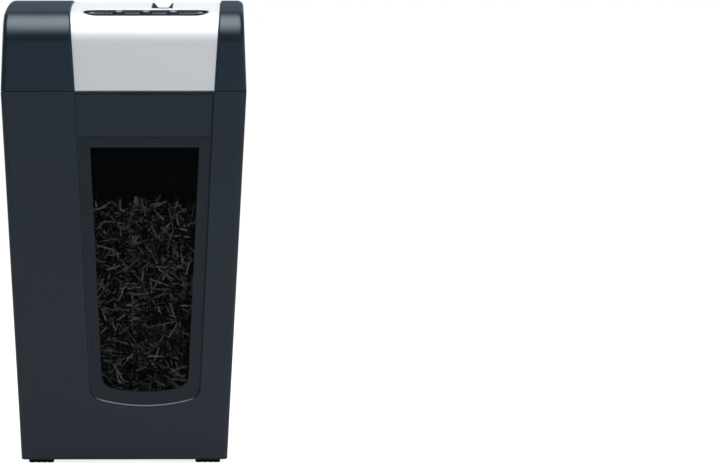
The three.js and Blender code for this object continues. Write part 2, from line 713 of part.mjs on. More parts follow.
// phase is the angle of one tooth's centre.
function gearShape({ x, z, teeth, phase }, module) {
  const pitch = (module * teeth) / 2;
  const tip = pitch + 0.85 * module;
  const root = pitch - 1.2 * module;
  const quarter = Math.PI / (2 * teeth);
  const back = (slack * module) / pitch;
  const points = [];
  for (let i = 0; i < teeth; i++) {
    const middle = phase + (i * 2 * Math.PI) / teeth;
    for (const [radius, lean] of [[root, -1.62], [tip, -0.36], [tip, 0.36], [root, 1.62]]) {
      const angle = middle + lean * quarter - Math.sign(lean) * back;
      points.push(new THREE.Vector2(x + radius * Math.cos(angle), z + radius * Math.sin(angle)));
    }
  }
  return new THREE.Shape(points);
}

// Phase of a gear that meshes with one already placed: a gap of one faces a tooth of the other.
function meshedPhase(from, to) {
  const angle = Math.atan2(to.z - from.z, to.x - from.x);
  const turnOfTooth = ((angle - from.phase) * from.teeth) / (2 * Math.PI);
  return angle + Math.PI - ((2 * Math.PI) / to.teeth) * (0.5 - turnOfTooth);
}

const drive = { x: leftCutterX, z: cutterZ, teeth: 36, phase: 0 };
const secondSmall = { ...gearCentres.second, teeth: 12 };
secondSmall.phase = meshedPhase(drive, secondSmall);
const secondLarge = { ...gearCentres.second, teeth: 40, phase: secondSmall.phase };
const firstSmall = { ...gearCentres.first, teeth: 12 };
firstSmall.phase = meshedPhase(secondLarge, firstSmall);
const firstLarge = { ...gearCentres.first, teeth: 48, phase: firstSmall.phase };
const pinion = { x: motorX, z: motorZ, teeth: 12 };
pinion.phase = meshedPhase(firstLarge, pinion);
const syncLeft = { x: leftCutterX, z: cutterZ, teeth: 20, phase: 0 };
const syncRight = { x: rightCutterX, z: cutterZ, teeth: 20 };
syncRight.phase = meshedPhase(syncLeft, syncRight);

const toothed = (place, module, y0, y1) => solid(runAlongY(gearShape(place, module), y0, y1));
const bored = (body, { x, z }, radius) => body.subtract(solid(bar(x, z, radius, -200, 200)));
const syncGear = (place) => bored(toothed(place, 1.5, -130, -121), place, shaftRadius + gap);
const driveGear = () => bored(toothed(drive, 1.5, 122, 132), drive, shaftRadius + gap);
const secondIdler = () =>
  bored(toothed(secondSmall, 1.5, 121.5, 134.5).add(toothed(secondLarge, 1.25, 134, 141)), secondLarge, 2.9);
const firstIdler = () =>
  bored(toothed(firstSmall, 1.25, 133.5, 143).add(toothed(firstLarge, 1, 142.5, 148.5)), firstLarge, 2.9);
const motorPinion = () => bored(toothed(pinion, 1, 142, 149), pinion, 3 + gap);

const idlerPin = ({ x, z }, end) =>
  turned(x, z, [[0, 112.5], [1.6, 112.5], [1.6, 116.9], [2.4, 116.9], [2.4, end], [0, end]], 8);

const coverWall = 1.4;

function gearboxCover() {
  const [x0, x1, z0, z1] = [-64, throatX + 15.8, 294.3, 381.6];
  const outline = (inset) =>
    roundedRectangle((x0 + x1) / 2, (z0 + z1) / 2, (x1 - x0) / 2 - inset, (z1 - z0) / 2 - inset, 14 - inset);
  const outer = solid(runAlongY(outline(0), 117, 153));
  const inner = solid(runAlongY(outline(coverWall), 110, 153 - coverWall));
  const rodHeads = tieRods.map(([x, z]) => solid(bar(x, z, 5, 100, 120)));
  return outer.subtract(inner).subtract(joined(rodHeads));
}

// ---------------------------------------------------------------- motor
const motorRadius = 28;
const motorShaft = 3;
const motorSides = 20;

function motorCan() {
  const inside = [[4, 113.7], [4, 111], [26, 111], [26, 22]];
  const outside = [[motorRadius, 22], [motorRadius, 113.7]];
  return turned(motorX, motorZ, [...inside, ...outside, inside[0]], motorSides);
}

function motorEndCap() {
  const outside = [[4, 12], [motorRadius, 12], [motorRadius, 21.7]];
  const inside = [[22, 21.7], [22, 15], [4, 15]];
  return turned(motorX, motorZ, [...outside, ...inside, outside[0]], motorSides);
}

// The shaft with its commutator and its wound core.
function motorArmature() {
  const commutator = [[motorShaft, 20], [9, 20], [9, 32], [motorShaft, 32]];
  const core = [[motorShaft, 38], [21, 42], [21, 94], [motorShaft, 98]];
  const ends = [[[0, 0], [motorShaft, 0]], [[motorShaft, 150], [0, 150]]];
  return turned(motorX, motorZ, [...ends[0], ...commutator, ...core, ...ends[1]], 16);
}

function motorFan() {
  const hub = bar(motorX, motorZ, 8, 0.5, 10);
  const blades = Array.from({ length: 7 }, (_, i) => {
    const blade = new THREE.BoxGeometry(18, 8, 1.6).rotateX(0.5).translate(15, 5.25, 0);
    return solid(blade.rotateY((i * 2 * Math.PI) / 7).translate(motorX, 0, motorZ));
  });
  return joined([solid(hub), ...blades]).subtract(solid(bar(motorX, motorZ, 3 + gap, -10, 20)));
}

// ---------------------------------------------------------------- electrics
function powerBoard() {
  const boardTop = boardLowZ + 1.6;
  const board = block(-77, -19, -108, -20, boardLowZ, boardTop);
  const transformer = block(-72, -40, -98, -66, boardTop - 0.1, 326);
  const relay = block(-36, -26, -94, -76, boardTop - 0.1, 314);
  const capacitor = solid(post(-60, -48, 8, boardTop - 0.1, 322));
  const terminal = block(-40, -26, -58, -32, boardTop - 0.1, 308);
  return joined([board, transformer, relay, capacitor, terminal]);
}

const rearY = halfDepth - (switchZ - seamZ) * headEndLean; // the rear face at the switch
const rockerPivotY = rearY - 1.5;
const rockerTilt = THREE.MathUtils.degToRad(9); // each way from level
const bezelProud = 1.9;
const wellHalf = 8.5;

// Snap-in switch body: a rim outside the rear face and a box behind it, open for the rocker.
function switchBezel() {
  const rimShape = roundedRectangle(switchX, switchZ, 11, 7.5, 1.5, 2);
  const rim = solid(runAlongY(rimShape, rearY + 2 * gap, rearY + bezelProud));
  const body = slotAlongY(switchX, switchZ, 8.7, 5.7, rearY - 15, rearY + 1.2);
  const well = slotAlongY(switchX, switchZ, wellHalf, 4.9, rearY - 7, rearY + 6);
  return rim.add(body).subtract(well);
}

// The rocker, seen from above: two lobes on an upright pivot, tipped to its first position.
function switchRocker() {
  const tip = switchProud + halfDepth - rockerPivotY;
  const lobe = 7;
  const face = (tip - lobe * Math.sin(rockerTilt)) / Math.cos(rockerTilt);
  const level = [[-lobe, -1.5], [0, -3.4], [lobe, -1.5], [lobe, face], [0, face - 1.2], [-lobe, face]];
  const pivot = new THREE.Vector2();
  const tipped = level.map((point) => new THREE.Vector2(...point).rotateAround(pivot, -rockerTilt));
  const halfHeight = 4.6;
  const upright = runAlongZ(new THREE.Shape(tipped), switchZ - halfHeight, switchZ + halfHeight);
  return solid(upright.translate(switchX, rockerPivotY, 0));
}

// A bush for the supply cord: a neck through the rear face and a rim outside it.
function cordGland() {
  const neck = [[4, rearY - 9], [6, rearY - 9], [6, rearY + 0.9]];
  const rim = [[8.5, rearY + 0.9], [8.5, rearY + 2], [4, rearY + 2.8]];
  return turned(glandX, switchZ, [...neck, ...rim, neck[0]], 16);
}

// The interlock: a boxed switch over the rear of the rim, and the sprung pin that the bin's
// striker holds up. The pin's collar rides in the switch and keeps the pin from falling out.
function interlockSwitch() {
  const lowZ = flangeTopZ + gap;
  const body = block(strikerX - 7, strikerX + 7, strikerY - 6.5, strikerY + 6.5, lowZ, 340);
  const bore = solid(post(strikerX, strikerY, interlockPinRadius + 0.5, 300, 330));
  return body.subtract(bore).subtract(solid(post(strikerX, strikerY, 4.3, lowZ + 2, 337.5)));
}

function interlockPin() {
  const radius = interlockPinRadius;
  const collar = [[radius, 331.2], [3.6, 331.2], [3.6, 332.7], [radius, 332.7]];
  const lowZ = strikerTopZ + gap;
  return upright(strikerX, strikerY, [[0, lowZ], [radius, lowZ], ...collar, [radius, 334], [0, 334]]);
}

// Forked optical paper sensor on the rear plate's top edge: its beam crosses the guide's slot.
function paperSensor() {
  const inner = guideHalf + gap;
  const lowZ = rearPlateTopZ + gap;
  const middleZ = lowZ + 4;
  const fork = slotAlongY(throatX, middleZ, inner + 3, 4, 98, plateY + plateThick);
  return fork.subtract(slotAlongY(throatX, middleZ, inner, 9, 90, throatHalfLength + gap));
}

const vibrationMount = (x, y) => post(x, y, 4.5, tubFloorZ + tubWall + gap, plateLowZ - gap, 12);

// ---------------------------------------------------------------- the scene graph
const shredder = new THREE.Group();
const bin = new THREE.Group();
const head = new THREE.Group();
bin.position.y = shellY;
head.position.y = shellY;
shredder.add(bin, head);

function piece(parent, name, shape, material) {
  const mesh = new THREE.Mesh(shape.isBufferGeometry ? shape : geometryOf(shape), material);
  mesh.name = name;
  parent.add(mesh);
}

piece(bin, "bin_shell", binShell(), casePlastic);
piece(bin, "window_pane", windowPane(), smokedWindow);
for (const [side, x] of [["left", -footX], ["right", footX]]) {
  piece(bin, `foot_front_${side}`, foot(x, -footY), footRubber);
  piece(bin, `foot_rear_${side}`, foot(x, footY), footRubber);
}

piece(head, "head_shell", headShell(), casePlastic);
piece(head, "top_fascia", topFascia(), silverPlastic);
piece(head, "throat_guide", throatGuide(), insertPlastic);
piece(head, "control_panel", controlPanel(), glossBlack);
piece(head, "head_base", headBase(), insertPlastic);
["reverse", "power", "forward"].forEach((name, i) =>
  piece(head, `button_${name}`, button(panelX + (i - 1) * buttonSpacing), buttonPlastic),
);
piece(head, "status_lens_left", statusLens(panelX - 2 * buttonSpacing), lensClear);
piece(head, "status_lens_right", statusLens(panelX + 2 * buttonSpacing), lensClear);
piece(head, "control_board", controlBoard(), boardGreen);
piece(head, "power_board", powerBoard(), boardGreen);
piece(head, "paper_sensor", paperSensor(), glossBlack);

piece(head, "front_plate", frontPlate(), plateSteel);
piece(head, "rear_plate", rearPlate(), plateSteel);
tieRods.forEach((place, i) => piece(head, `tie_rod_${i + 1}`, tieRod(place), hardSteel));
for (const [side, x] of [["left", leftCutterX], ["right", rightCutterX]]) {
  piece(head, `bush_front_${side}`, bush(x, -1), bronze);
  piece(head, `bush_rear_${side}`, bush(x, 1), bronze);
}
const leftYs = Array.from({ length: leftDiscs }, (_, i) => leftDiscY(i));
const rightYs = leftYs.slice(0, -1).map((y) => y + discPitch / 2);
piece(head, "cutter_left", cutterShaft(leftCutterX, leftYs, -132, 134), hardSteel);
piece(head, "cutter_right", cutterShaft(rightCutterX, rightYs, -132, plateY + plateThick), hardSteel);
piece(head, "comb_left", comb(leftCutterX, -1, rightYs), combPlastic);
piece(head, "comb_right", comb(rightCutterX, 1, leftYs), combPlastic);
piece(head, "sync_gear_left", syncGear(syncLeft), gearSteel);
piece(head, "sync_gear_right", syncGear(syncRight), gearSteel);
piece(head, "drive_gear", driveGear(), gearSteel);
piece(head, "idler_gear_second", secondIdler(), gearSteel);
piece(head, "idler_gear_first", firstIdler(), gearNylon);
piece(head, "idler_pin_second", idlerPin(gearCentres.second, 142), hardSteel);
piece(head, "idler_pin_first", idlerPin(gearCentres.first, 149.5), hardSteel);
piece(head, "gearbox_cover", gearboxCover(), combPlastic);

piece(head, "motor_can", motorCan(), motorSteel);
piece(head, "motor_end_cap", motorEndCap(), insertPlastic);
piece(head, "motor_armature", motorArmature(), copper);
piece(head, "motor_pinion", motorPinion(), gearSteel);
piece(head, "motor_fan", motorFan(), insertPlastic);

piece(head, "switch_bezel", switchBezel(), silverPlastic);
piece(head, "switch_rocker", switchRocker(), glossBlack);
piece(head, "cord_gland", cordGland(), insertPlastic);
piece(head, "interlock_switch", interlockSwitch(), glossBlack);
piece(head, "interlock_pin", interlockPin(), lensClear);
for (const [end, y] of [["front", 2 - plateY], ["rear", plateY - 2]]) {
  for (const [side, x] of [["left", throatX - 36], ["right", throatX + 36]]) {
    piece(head, `vibration_mount_${end}_${side}`, vibrationMount(x, y), footRubber);
  }
}
for (const [side, x] of [["left", -bossX], ["right", bossX]]) {
  piece(head, `base_screw_front_${side}`, baseScrew(x, -bossY), hardSteel);
  piece(head, `base_screw_rear_${side}`, baseScrew(x, bossY), hardSteel);
}

export default shredder;
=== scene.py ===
"""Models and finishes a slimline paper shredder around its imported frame.

Metres, +Z up. The front faces -Y, and +X is on the right of someone who faces it.
"""

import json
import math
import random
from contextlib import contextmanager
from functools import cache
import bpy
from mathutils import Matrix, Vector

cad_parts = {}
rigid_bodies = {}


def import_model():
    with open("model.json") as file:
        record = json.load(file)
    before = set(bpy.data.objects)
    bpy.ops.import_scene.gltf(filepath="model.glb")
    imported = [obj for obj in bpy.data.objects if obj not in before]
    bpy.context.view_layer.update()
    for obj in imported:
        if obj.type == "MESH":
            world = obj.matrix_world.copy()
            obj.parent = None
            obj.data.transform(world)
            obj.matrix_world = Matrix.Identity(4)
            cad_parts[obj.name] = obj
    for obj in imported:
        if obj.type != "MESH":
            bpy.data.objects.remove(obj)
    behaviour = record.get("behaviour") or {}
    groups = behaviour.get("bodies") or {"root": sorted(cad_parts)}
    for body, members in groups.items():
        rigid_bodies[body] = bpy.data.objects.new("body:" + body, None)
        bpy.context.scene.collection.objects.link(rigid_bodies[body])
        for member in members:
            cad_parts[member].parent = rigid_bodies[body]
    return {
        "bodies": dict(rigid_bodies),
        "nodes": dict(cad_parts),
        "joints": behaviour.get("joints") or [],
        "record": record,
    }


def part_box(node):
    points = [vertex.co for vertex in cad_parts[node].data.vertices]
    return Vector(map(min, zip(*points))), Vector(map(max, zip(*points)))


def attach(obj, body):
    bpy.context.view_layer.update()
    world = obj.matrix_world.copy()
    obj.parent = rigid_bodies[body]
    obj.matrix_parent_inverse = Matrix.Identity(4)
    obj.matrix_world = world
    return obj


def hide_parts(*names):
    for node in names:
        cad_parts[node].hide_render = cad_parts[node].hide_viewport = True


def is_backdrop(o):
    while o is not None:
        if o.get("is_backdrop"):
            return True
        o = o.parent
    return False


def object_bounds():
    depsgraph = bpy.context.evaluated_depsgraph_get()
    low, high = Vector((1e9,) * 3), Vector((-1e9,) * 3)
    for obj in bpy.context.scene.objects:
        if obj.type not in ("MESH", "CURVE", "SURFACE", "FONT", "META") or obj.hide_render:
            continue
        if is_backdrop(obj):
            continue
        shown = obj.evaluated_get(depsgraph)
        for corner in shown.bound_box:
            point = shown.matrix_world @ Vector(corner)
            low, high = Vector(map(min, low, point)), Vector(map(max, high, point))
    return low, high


bl_info = {
    "name": "Paper Shredder Builder",
    "version": (1, 0, 0),
    "blender": (4, 5, 0),
    "location": "View3D > Sidebar > Shredder",
    "description": "Models and finishes a desk-side paper shredder around its packed frame",
    "category": "Object",
}

import bmesh
import bpy
from bpy.props import FloatProperty, FloatVectorProperty, IntProperty, PointerProperty
from mathutils import Matrix, Vector, noise

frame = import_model()
CAD_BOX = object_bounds()
MM = 0.001


# ------------------------------------------------------------------ sizes and colours
def length(name, default, description):
    """A size in metres, given in millimetres."""
    return FloatProperty(name=name, description=description, default=default * MM, unit="LENGTH", precision=5)


def slope(name, default, description):
    """A lean, as the distance sideways for each unit of height."""
    return FloatProperty(name=name, description=description, default=default, precision=5)


def count(name, default, description):
    return IntProperty(name=name, description=description, default=default, min=1)


def paint(name, code, description):
    """A colour, given as a hexadecimal sRGB code and kept as linear light."""
    levels = [((code >> shift) & 255) / 255 for shift in (16, 8, 0)]
    linear = [c / 12.92 if c <= 0.04045 else ((c + 0.055) / 1.055) ** 2.4 for c in levels]
    return FloatVectorProperty(
        name=name, description=description, default=linear, size=3, subtype="COLOR", min=0, max=1
    )


BIN_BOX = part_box("bin_shell")
HEAD_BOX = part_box("head_shell")
MIDDLE_Y = (BIN_BOX[0].y + BIN_BOX[1].y) / 2


class CaseSizes(bpy.types.PropertyGroup):
    """The outer form of the bin and the head."""

    seam_z: length("Seam height", (BIN_BOX[1].z + HEAD_BOX[0].z) / 2 / MM, "Where the head meets the bin")
    seam_gap: length("Seam gap", 0.4, "Open joint between head and bin")
    top_z: length("Height", HEAD_BOX[1].z / MM, "Floor to the crown of the top")
    low_z: length("Bin underside", BIN_BOX[0].z / MM, "Floor to the underside of the bin")
    half_width: length("Half width", 106, "Half of the width at the seam")
    half_depth: length("Half depth", 180, "Half of the depth at the seam")
    wall: length("Wall", 2.5, "Thickness of the moulded shells")
    gap: length("Gap", 0.3, "Clearance between pieces that touch")
    edge_radius: length("Edge rounding", 5, "Rounding round each side face")
    crown_radius: length("Crown radius", 1350, "The top is one long arc from front to back")
    corner_radius: length("Corner radius", 30, "Crown to front face and crown to rear face")
    head_end_lean: slope("Head end lean", 0.063, "Inward lean of the head's front and rear")
    head_side_lean: slope("Head side lean", 0.036, "Inward lean of the head's sides")
    bin_end_lean: slope("Bin end lean", 0.0555, "Taper of the bin's front and rear")
    bin_side_lean: slope("Bin side lean", 0.0535, "Taper of the bin's sides")


class BandSizes(bpy.types.PropertyGroup):
    """The silver band over the head, and the recess and window below it."""

    x: length("Band middle", 18, "The band sits right of the middle of the case")
    half_width: length("Band half width", 60.2, "Half width of the band at the seam")
    flare: slope("Band flare", 0.0635, "Outward flare of the band above the seam")
    taper: slope("Recess taper", 0.0477, "Inward taper of the front recess below the seam")
    sink: length("Cover sink", 2, "Depth of the silver cover below the black cheeks")
    thickness: length("Cover thickness", 2.5, "Thickness of the silver cover")
    rear_z: length("Cover rear end", 372, "The cover ends at this height on the rear corner")
    cheek_radius: length("Cheek edge rounding", 1.4, "Rounding of the cheeks beside the cover")
    arch_z: length("Arch centre", 200, "Centre of the wide arc that closes the recess below")
    arch_radius: length("Arch radius", 151, "Radius of that arc")
    recess_depth: length("Front recess depth", 2.5, "Depth of the recess in the bin's front")
    recess_corner: length("Front recess corner", 12.5, "Corner radius of the front recess")
    recess_wall: length("Front recess wall", 1.4, "Run of the slanting wall round the front recess")
    rim_depth: length("Rim recess depth", 1, "Depth of the front recess across the bin's rim")
    rim_z: length("Rim height", 319.9, "The bin's rim stands out of its recesses above this height")
    pane_inset: length("Pane inset", 3.7, "From the recess edge to the window pane")
    pane_corner: length("Pane corner", 7, "Corner radius of the pane")
    pane_thickness: length("Pane thickness", 2, "Thickness of the window pane")
    pane_top_z: length("Pane top", 282, "Upper edge of the window pane")
    window_inset: length("Window inset", 10.9, "From the recess edge to the clear window")
    window_rise: length("Window rise", 2, "The clear window's closing arc lies this much above the recess's")
    window_corner: length("Window corner", 12, "Corner radius of the clear window")
    window_top_z: length("Window top", 273.4, "Upper edge of the clear window")


class CheekSizes(bpy.types.PropertyGroup):
    """The sunk panel in each side of the head, and its cooling slits."""

    half_depth: length("Half depth", 137, "Half of the sunk panel's depth, front to back, at the seam")
    lean: slope("Lean", 0.02, "Inward lean of the sunk panel's ends")
    drop: length("Drop", 34.8, "Crown of the sunk panel below the crown of the top")
    corner: length("Corner", 10, "Corner radius of the sunk panel")
    depth: length("Depth", 8, "Depth of the sunk panel")
    slit_pitch: length("Slit pitch", 10.25, "From one cooling slit to the next")
    slits_front_y: length("Front slits", -72.2, "Middle of the front group of slits")
    slits_rear_y: length("Rear slits", 58.3, "Middle of the rear group of slits")
    slit_top_z: length("Slit top", 347, "Upper end of the slits")
    slit_half_low: length("Slit half width below", 1.65, "Half width of a slit at its foot")
    slit_half_top: length("Slit half width above", 0.95, "Half width of a slit at its top")


class TroughSizes(bpy.types.PropertyGroup):
    """The sunk panel in each side of the bin."""

    half_depth: length("Half depth", 138.4, "Half of the trough's width, front to back")
    depth: length("Depth", 9.5, "Depth of the trough at the seam")
    deepening: slope("Deepening", 0.0172, "Depth gained for each unit of height")
    rim_depth: length("Rim depth", 11, "Depth of the trough across the bin's rim")
    pinch: length("Bottom edge rounding", 1.2, "Rounding of the bin's bottom edge")


class ThroatSizes(bpy.types.PropertyGroup):
    """The paper's way in."""

    x: length("Throat middle", 32.4, "The feed throat sits to the right in the silver cover")
    half_width: length("Half width", 8.8, "Half width of the funnel")
    half_length: length("Half length", 113, "Half length of the funnel, front to back")
    low_z: length("Underside", 352, "Underside of the funnel")
    mouth_half: length("Mouth half width", 8.1, "Half width of the mouth at the top")
    slot_half: length("Slot half width", 3, "Half width of the slot")
    slope: slope("Funnel slope", 0.8, "Half width lost for each unit of depth")
    end_wall: length("End wall", 2.5, "Wall at each end of the slot")
    rib: length("Rib", 1.5, "Wall beside the slot and round the pockets")


class ControlSizes(bpy.types.PropertyGroup):
    """The control panel at the front edge of the crown."""

    x: length("Panel middle", 18.9, "Middle of the panel and of the power button")
    y: length("Panel place", -142.2, "Middle of the panel, front to back")
    half_x: length("Half length", 54, "Half length of the panel")
    half_y: length("Half width", 17, "Half width of the panel")
    corner: length("Corner", 11, "Corner radius of the panel")
    sink: length("Panel sink", 2.4, "Depth of the panel below the black cheeks")
    rim: length("Panel rim", 1, "Width of the panel's rim")
    pocket: length("Panel pocket", 0.9, "Depth of the sunk face inside the rim, at the buttons")
    pocket_tilt: slope("Pocket tilt", 0.045, "The sunk face falls this much more to the rear than the panel")
    button_y: length("Button place", -140.5, "Middle of the buttons, front to back")
    button_drop: length("Button drop", 0.75, "The buttons and the lights sit this far below the panel's rim")
    spacing: length("Button spacing", 23.5, "From one button to the next")
    button_radius: length("Button radius", 6, "Radius of the button caps")
    lens_radius: length("Lens radius", 2.4, "Radius of the status lights")
    clearance: length("Hole clearance", 0.45, "Ring of air round each button")
    board_z: length("Board height", 374.6, "Upper face of the control board")


class RearSizes(bpy.types.PropertyGroup):
    """The switch and the cord gland in the rear face."""

    z: length("Height", 331, "Height of the switch and the gland")
    switch_x: length("Switch place", 62, "Middle of the switch")
    rim_half_x: length("Bezel half width", 11, "Half width of the switch's rim")
    rim_half_z: length("Bezel half height", 7.5, "Half height of the switch's rim")
    proud: length("Bezel height", 1.9, "The rim stands this far behind the case")
    well_half_x: length("Well half width", 8.5, "Half width of the well that the rocker sits in")
    well_half_z: length("Well half height", 4.9, "Half height of that well")
    rocker_proud: length("Rocker height", 5, "The rocker stands this far behind the seam's rear edge")
    gland_x: length("Gland place", 24, "Middle of the cord gland")
    gland_bore: length("Gland bore", 4, "Radius of the gland's bore")


class FootSizes(bpy.types.PropertyGroup):
    """The four rubber feet."""

    x: length("Foot place across", 72, "From the middle to each foot")
    y: length("Foot place along", 145, "From the middle to each foot")
    half: length("Half width", 10.75, "Half width of a pad")
    corner: length("Corner", 4, "Corner radius of a pad")
    peg_radius: length("Peg radius", 3, "Radius of the snap peg")
    peg_top_z: length("Peg top", 9, "Upper end of the peg")


class ShredSizes(bpy.types.PropertyGroup):
    """The shredded paper in the bin."""

    width: length("Strip width", 1.3, "Width of a paper strip")
    length: length("Strip length", 17, "Length of a paper strip")
    heap_z: length("Heap height", 224, "Mean height of the heap")
    unevenness: length("Unevenness", 10, "Height of the heap's humps")
    window_strips: count("Strips at the window", 2600, "Strips behind the window")
    top_strips: count("Strips on top", 2600, "Strips over the heap")


class FinishColours(bpy.types.PropertyGroup):
    """The colours of the finishes."""

    case: paint("Case", 0x0E1B23, "Satin black of the bin and the head")
    insert: paint("Inserts", 0x0C0F11, "Black of the funnel, the base and the gland")
    silver: paint("Silver", 0xCACDCF, "Silver of the top cover")
    gloss: paint("Gloss black", 0x060708, "Control panel and switch")
    smoke: paint("Smoked window", 0x050607, "Window pane")
    rubber: paint("Rubber", 0x101112, "Feet and mounts")
    paper: paint("Paper", 0xDFE3E6, "Shredded paper")
    steel: paint("Steel", 0x9DA1A5, "Shafts, rods and screws")
    zinc: paint("Zinc plate", 0xB4B6B2, "End plates")
    gear_steel: paint("Gear steel", 0x5C6064, "Sintered gears")
    nylon: paint("Nylon", 0xE4DED0, "First idler gear")
    bronze: paint("Bronze", 0xA77B45, "Bushes")
    motor: paint("Motor can", 0x8A8F92, "Plated motor can")
    copper: paint("Copper", 0xB5663A, "Windings")
    board: paint("Circuit board", 0x1E5B38, "Solder mask")
    lens: paint("Lens", 0x6E7276, "Status lights")


# ------------------------------------------------------------------ bench tools
def hold(piece):
    """Selects one piece and nothing else."""
    bpy.ops.object.select_all(action="DESELECT")
    piece.select_set(True)
    bpy.context.view_layer.objects.active = piece


@contextmanager
def editing(piece):
    """Opens a piece in edit mode, all of it selected."""
    hold(piece)
    bpy.ops.object.mode_set(mode="EDIT")
    bpy.ops.mesh.select_mode(type="VERT")
    bpy.ops.mesh.select_all(action="SELECT")
    yield
    bpy.ops.object.mode_set(mode="OBJECT")


def pick(kind, test):
    """In edit mode, selects the vertices, edges or faces that pass a test, and fails if there are none."""
    form = bmesh.from_edit_mesh(bpy.context.edit_object.data)
    form.normal_update()
    bpy.ops.mesh.select_mode(type=kind)
    bpy.ops.mesh.select_all(action="DESELECT")
    parts = {"VERT": form.verts, "EDGE": form.edges, "FACE": form.faces}[kind]
    found = [part for part in parts if test(part)]
    if not found:
        raise RuntimeError(f"{bpy.context.edit_object.name}: no {kind.lower()} is where one was looked for")
    for part in found:
        part.select_set(True)
    form.select_flush_mode()
    bmesh.update_edit_mesh(bpy.context.edit_object.data)


def everything():
    """In edit mode, selects all of the mesh."""
    bpy.ops.mesh.select_all(action="SELECT")


def face_out():
    """In edit mode, turns every face outwards."""
    everything()
    bpy.ops.mesh.normals_make_consistent(inside=False)


def weld():
    """In edit mode, merges the vertices that lie on each other."""
    bpy.ops.mesh.remove_doubles(threshold=0.002 * MM)


def applied(piece):
    """Applies a piece's place, turn and scale to its mesh."""
    hold(piece)
    bpy.ops.object.transform_apply(location=True, rotation=True, scale=True)
    return piece


def named(name):
    """Names the new primitive and applies its place."""
    piece = bpy.context.object
    piece.name = piece.data.name = name
    return applied(piece)


def block(name, low, high):
    """A block between two corners."""
    low, high = Vector(low), Vector(high)
    bpy.ops.object.select_all(action="DESELECT")
    bpy.ops.mesh.primitive_cube_add(size=1, location=(low + high) / 2, scale=high - low)
    return named(name)


DRAWN = {
    "X": (Vector((0, 1, 0)), Vector((0, 0, 1))),
    "Y": (Vector((1, 0, 0)), Vector((0, 0, 1))),
    "Z": (Vector((1, 0, 0)), Vector((0, 1, 0))),
}


def trace(name, along, at, start, *moves):
    """Draws a closed outline from one vertex, square to an axis.

    A move is a point to extrude to, or an arc as (centre, sweep, steps), counter-clockwise.
    """
    right, up = DRAWN[along]
    axis = right.cross(up)
    base = Vector([at if letter == along else 0 for letter in "XYZ"])
    place = lambda point: base + right * point[0] + up * point[1]
    bpy.ops.object.select_all(action="DESELECT")
    bpy.ops.mesh.primitive_plane_add(size=MM, location=place(start))
    piece = named(name)
    here = Vector(start)
    with editing(piece):
        bpy.ops.mesh.merge(type="CENTER")
        for move in (*moves, start):
            if len(move) == 3:
                centre, sweep, steps = move
                bpy.ops.mesh.spin(steps=steps, angle=-sweep, center=place(centre), axis=axis)
                here = Vector(centre) + Matrix.Rotation(sweep, 2) @ (here - Vector(centre))
            elif (Vector(move) - here).length > 0.001 * MM:
                step = place(move) - place(here)
                bpy.ops.mesh.extrude_vertices_move(TRANSFORM_OT_translate={"value": step})
                here = Vector(move)
        everything()
        weld()
        bpy.ops.mesh.edge_face_add()
    return piece


def prism(name, along, low, high, start, *moves):
    """A traced outline run along an axis between two places."""
    piece = trace(name, along, low, start, *moves)
    run = Vector([high - low if letter == along else 0 for letter in "XYZ"])
    with editing(piece):
        bpy.ops.mesh.extrude_region_move(TRANSFORM_OT_translate={"value": run})
        face_out()
    return piece


def turned(name, profile, place=(0, 0, 0), axis=(0, 0, 1), steps=48):
    """A closed profile of (radius, height) points, spun round an axis through a place."""
    piece = trace(name, "Y", 0, *profile)
    with editing(piece):
        bpy.ops.mesh.delete(type="ONLY_FACE")
        everything()
        bpy.ops.mesh.spin(steps=steps, angle=math.tau, center=(0, 0, 0), axis=(0, 0, 1))
        everything()
        weld()
        bpy.ops.mesh.delete_loose()
        face_out()
    piece.rotation_euler = Vector(axis).to_track_quat("Z", "Y").to_euler()
    piece.location = place
    return applied(piece)


def round_bar(name, x, z, radius, start, end, steps=32):
    """A round bar along Y."""
    profile = [(0, start), (radius, start), (radius, end), (0, end)]
    return turned(name, profile, (x, 0, z), (0, 1, 0), steps)


def trim(piece, *planes):
    """Cuts away what lies beyond each plane, given by a point on it and the way out."""
    for point, out in planes:
        with editing(piece):
            bpy.ops.mesh.bisect(plane_co=point, plane_no=out, use_fill=True, clear_outer=True, threshold=1e-7)
    return piece


def round_edges(piece, radius, test, segments=8):
    """Rounds the edges that pass a test; one segment makes a chamfer."""
    with editing(piece):
        pick("EDGE", test)
        bpy.ops.mesh.bevel(offset=radius, segments=segments, affect="EDGES", clamp_overlap=False)
    return piece


def apply(piece, kind, **settings):
    """Adds a modifier and applies it."""
    hold(piece)
    modifier = piece.modifiers.new(kind.title(), kind)
    for key, value in settings.items():
        setattr(modifier, key, value)
    bpy.ops.object.modifier_apply(modifier=modifier.name)
    return piece


def carve(piece, *tools, operation="DIFFERENCE"):
    """Cuts tools out of a piece, or joins or intersects it with them, and throws the tools away."""
    for tool in tools:
        apply(piece, "BOOLEAN", object=tool, operation=operation, solver="EXACT")
        bpy.data.objects.remove(tool)
    return piece


def joined(pieces):
    """Several loose pieces as one object, which keeps the first one's name."""
    bpy.ops.object.select_all(action="DESELECT")
    for piece in pieces:
        piece.select_set(True)
    bpy.context.view_layer.objects.active = pieces[0]
    bpy.ops.object.join()
    return pieces[0]


def copied(piece, offset=(0, 0, 0), name=None):
    """A copy with its own mesh, moved by an offset."""
    copy = piece.copy()
    copy.data = piece.data.copy()
    copy.name = copy.data.name = name or piece.name
    bpy.context.collection.objects.link(copy)
    copy.data.transform(Matrix.Translation(offset))
    return copy


def flipped(piece):
    """Mirrors a piece across the middle of the case, and turns its faces back outwards."""
    piece.scale.x = -1
    with editing(applied(piece)):
        face_out()
    return piece


def both_sides(piece):
    """A piece of the right side, and its copy for the left."""
    return [flipped(copied(piece)), piece]


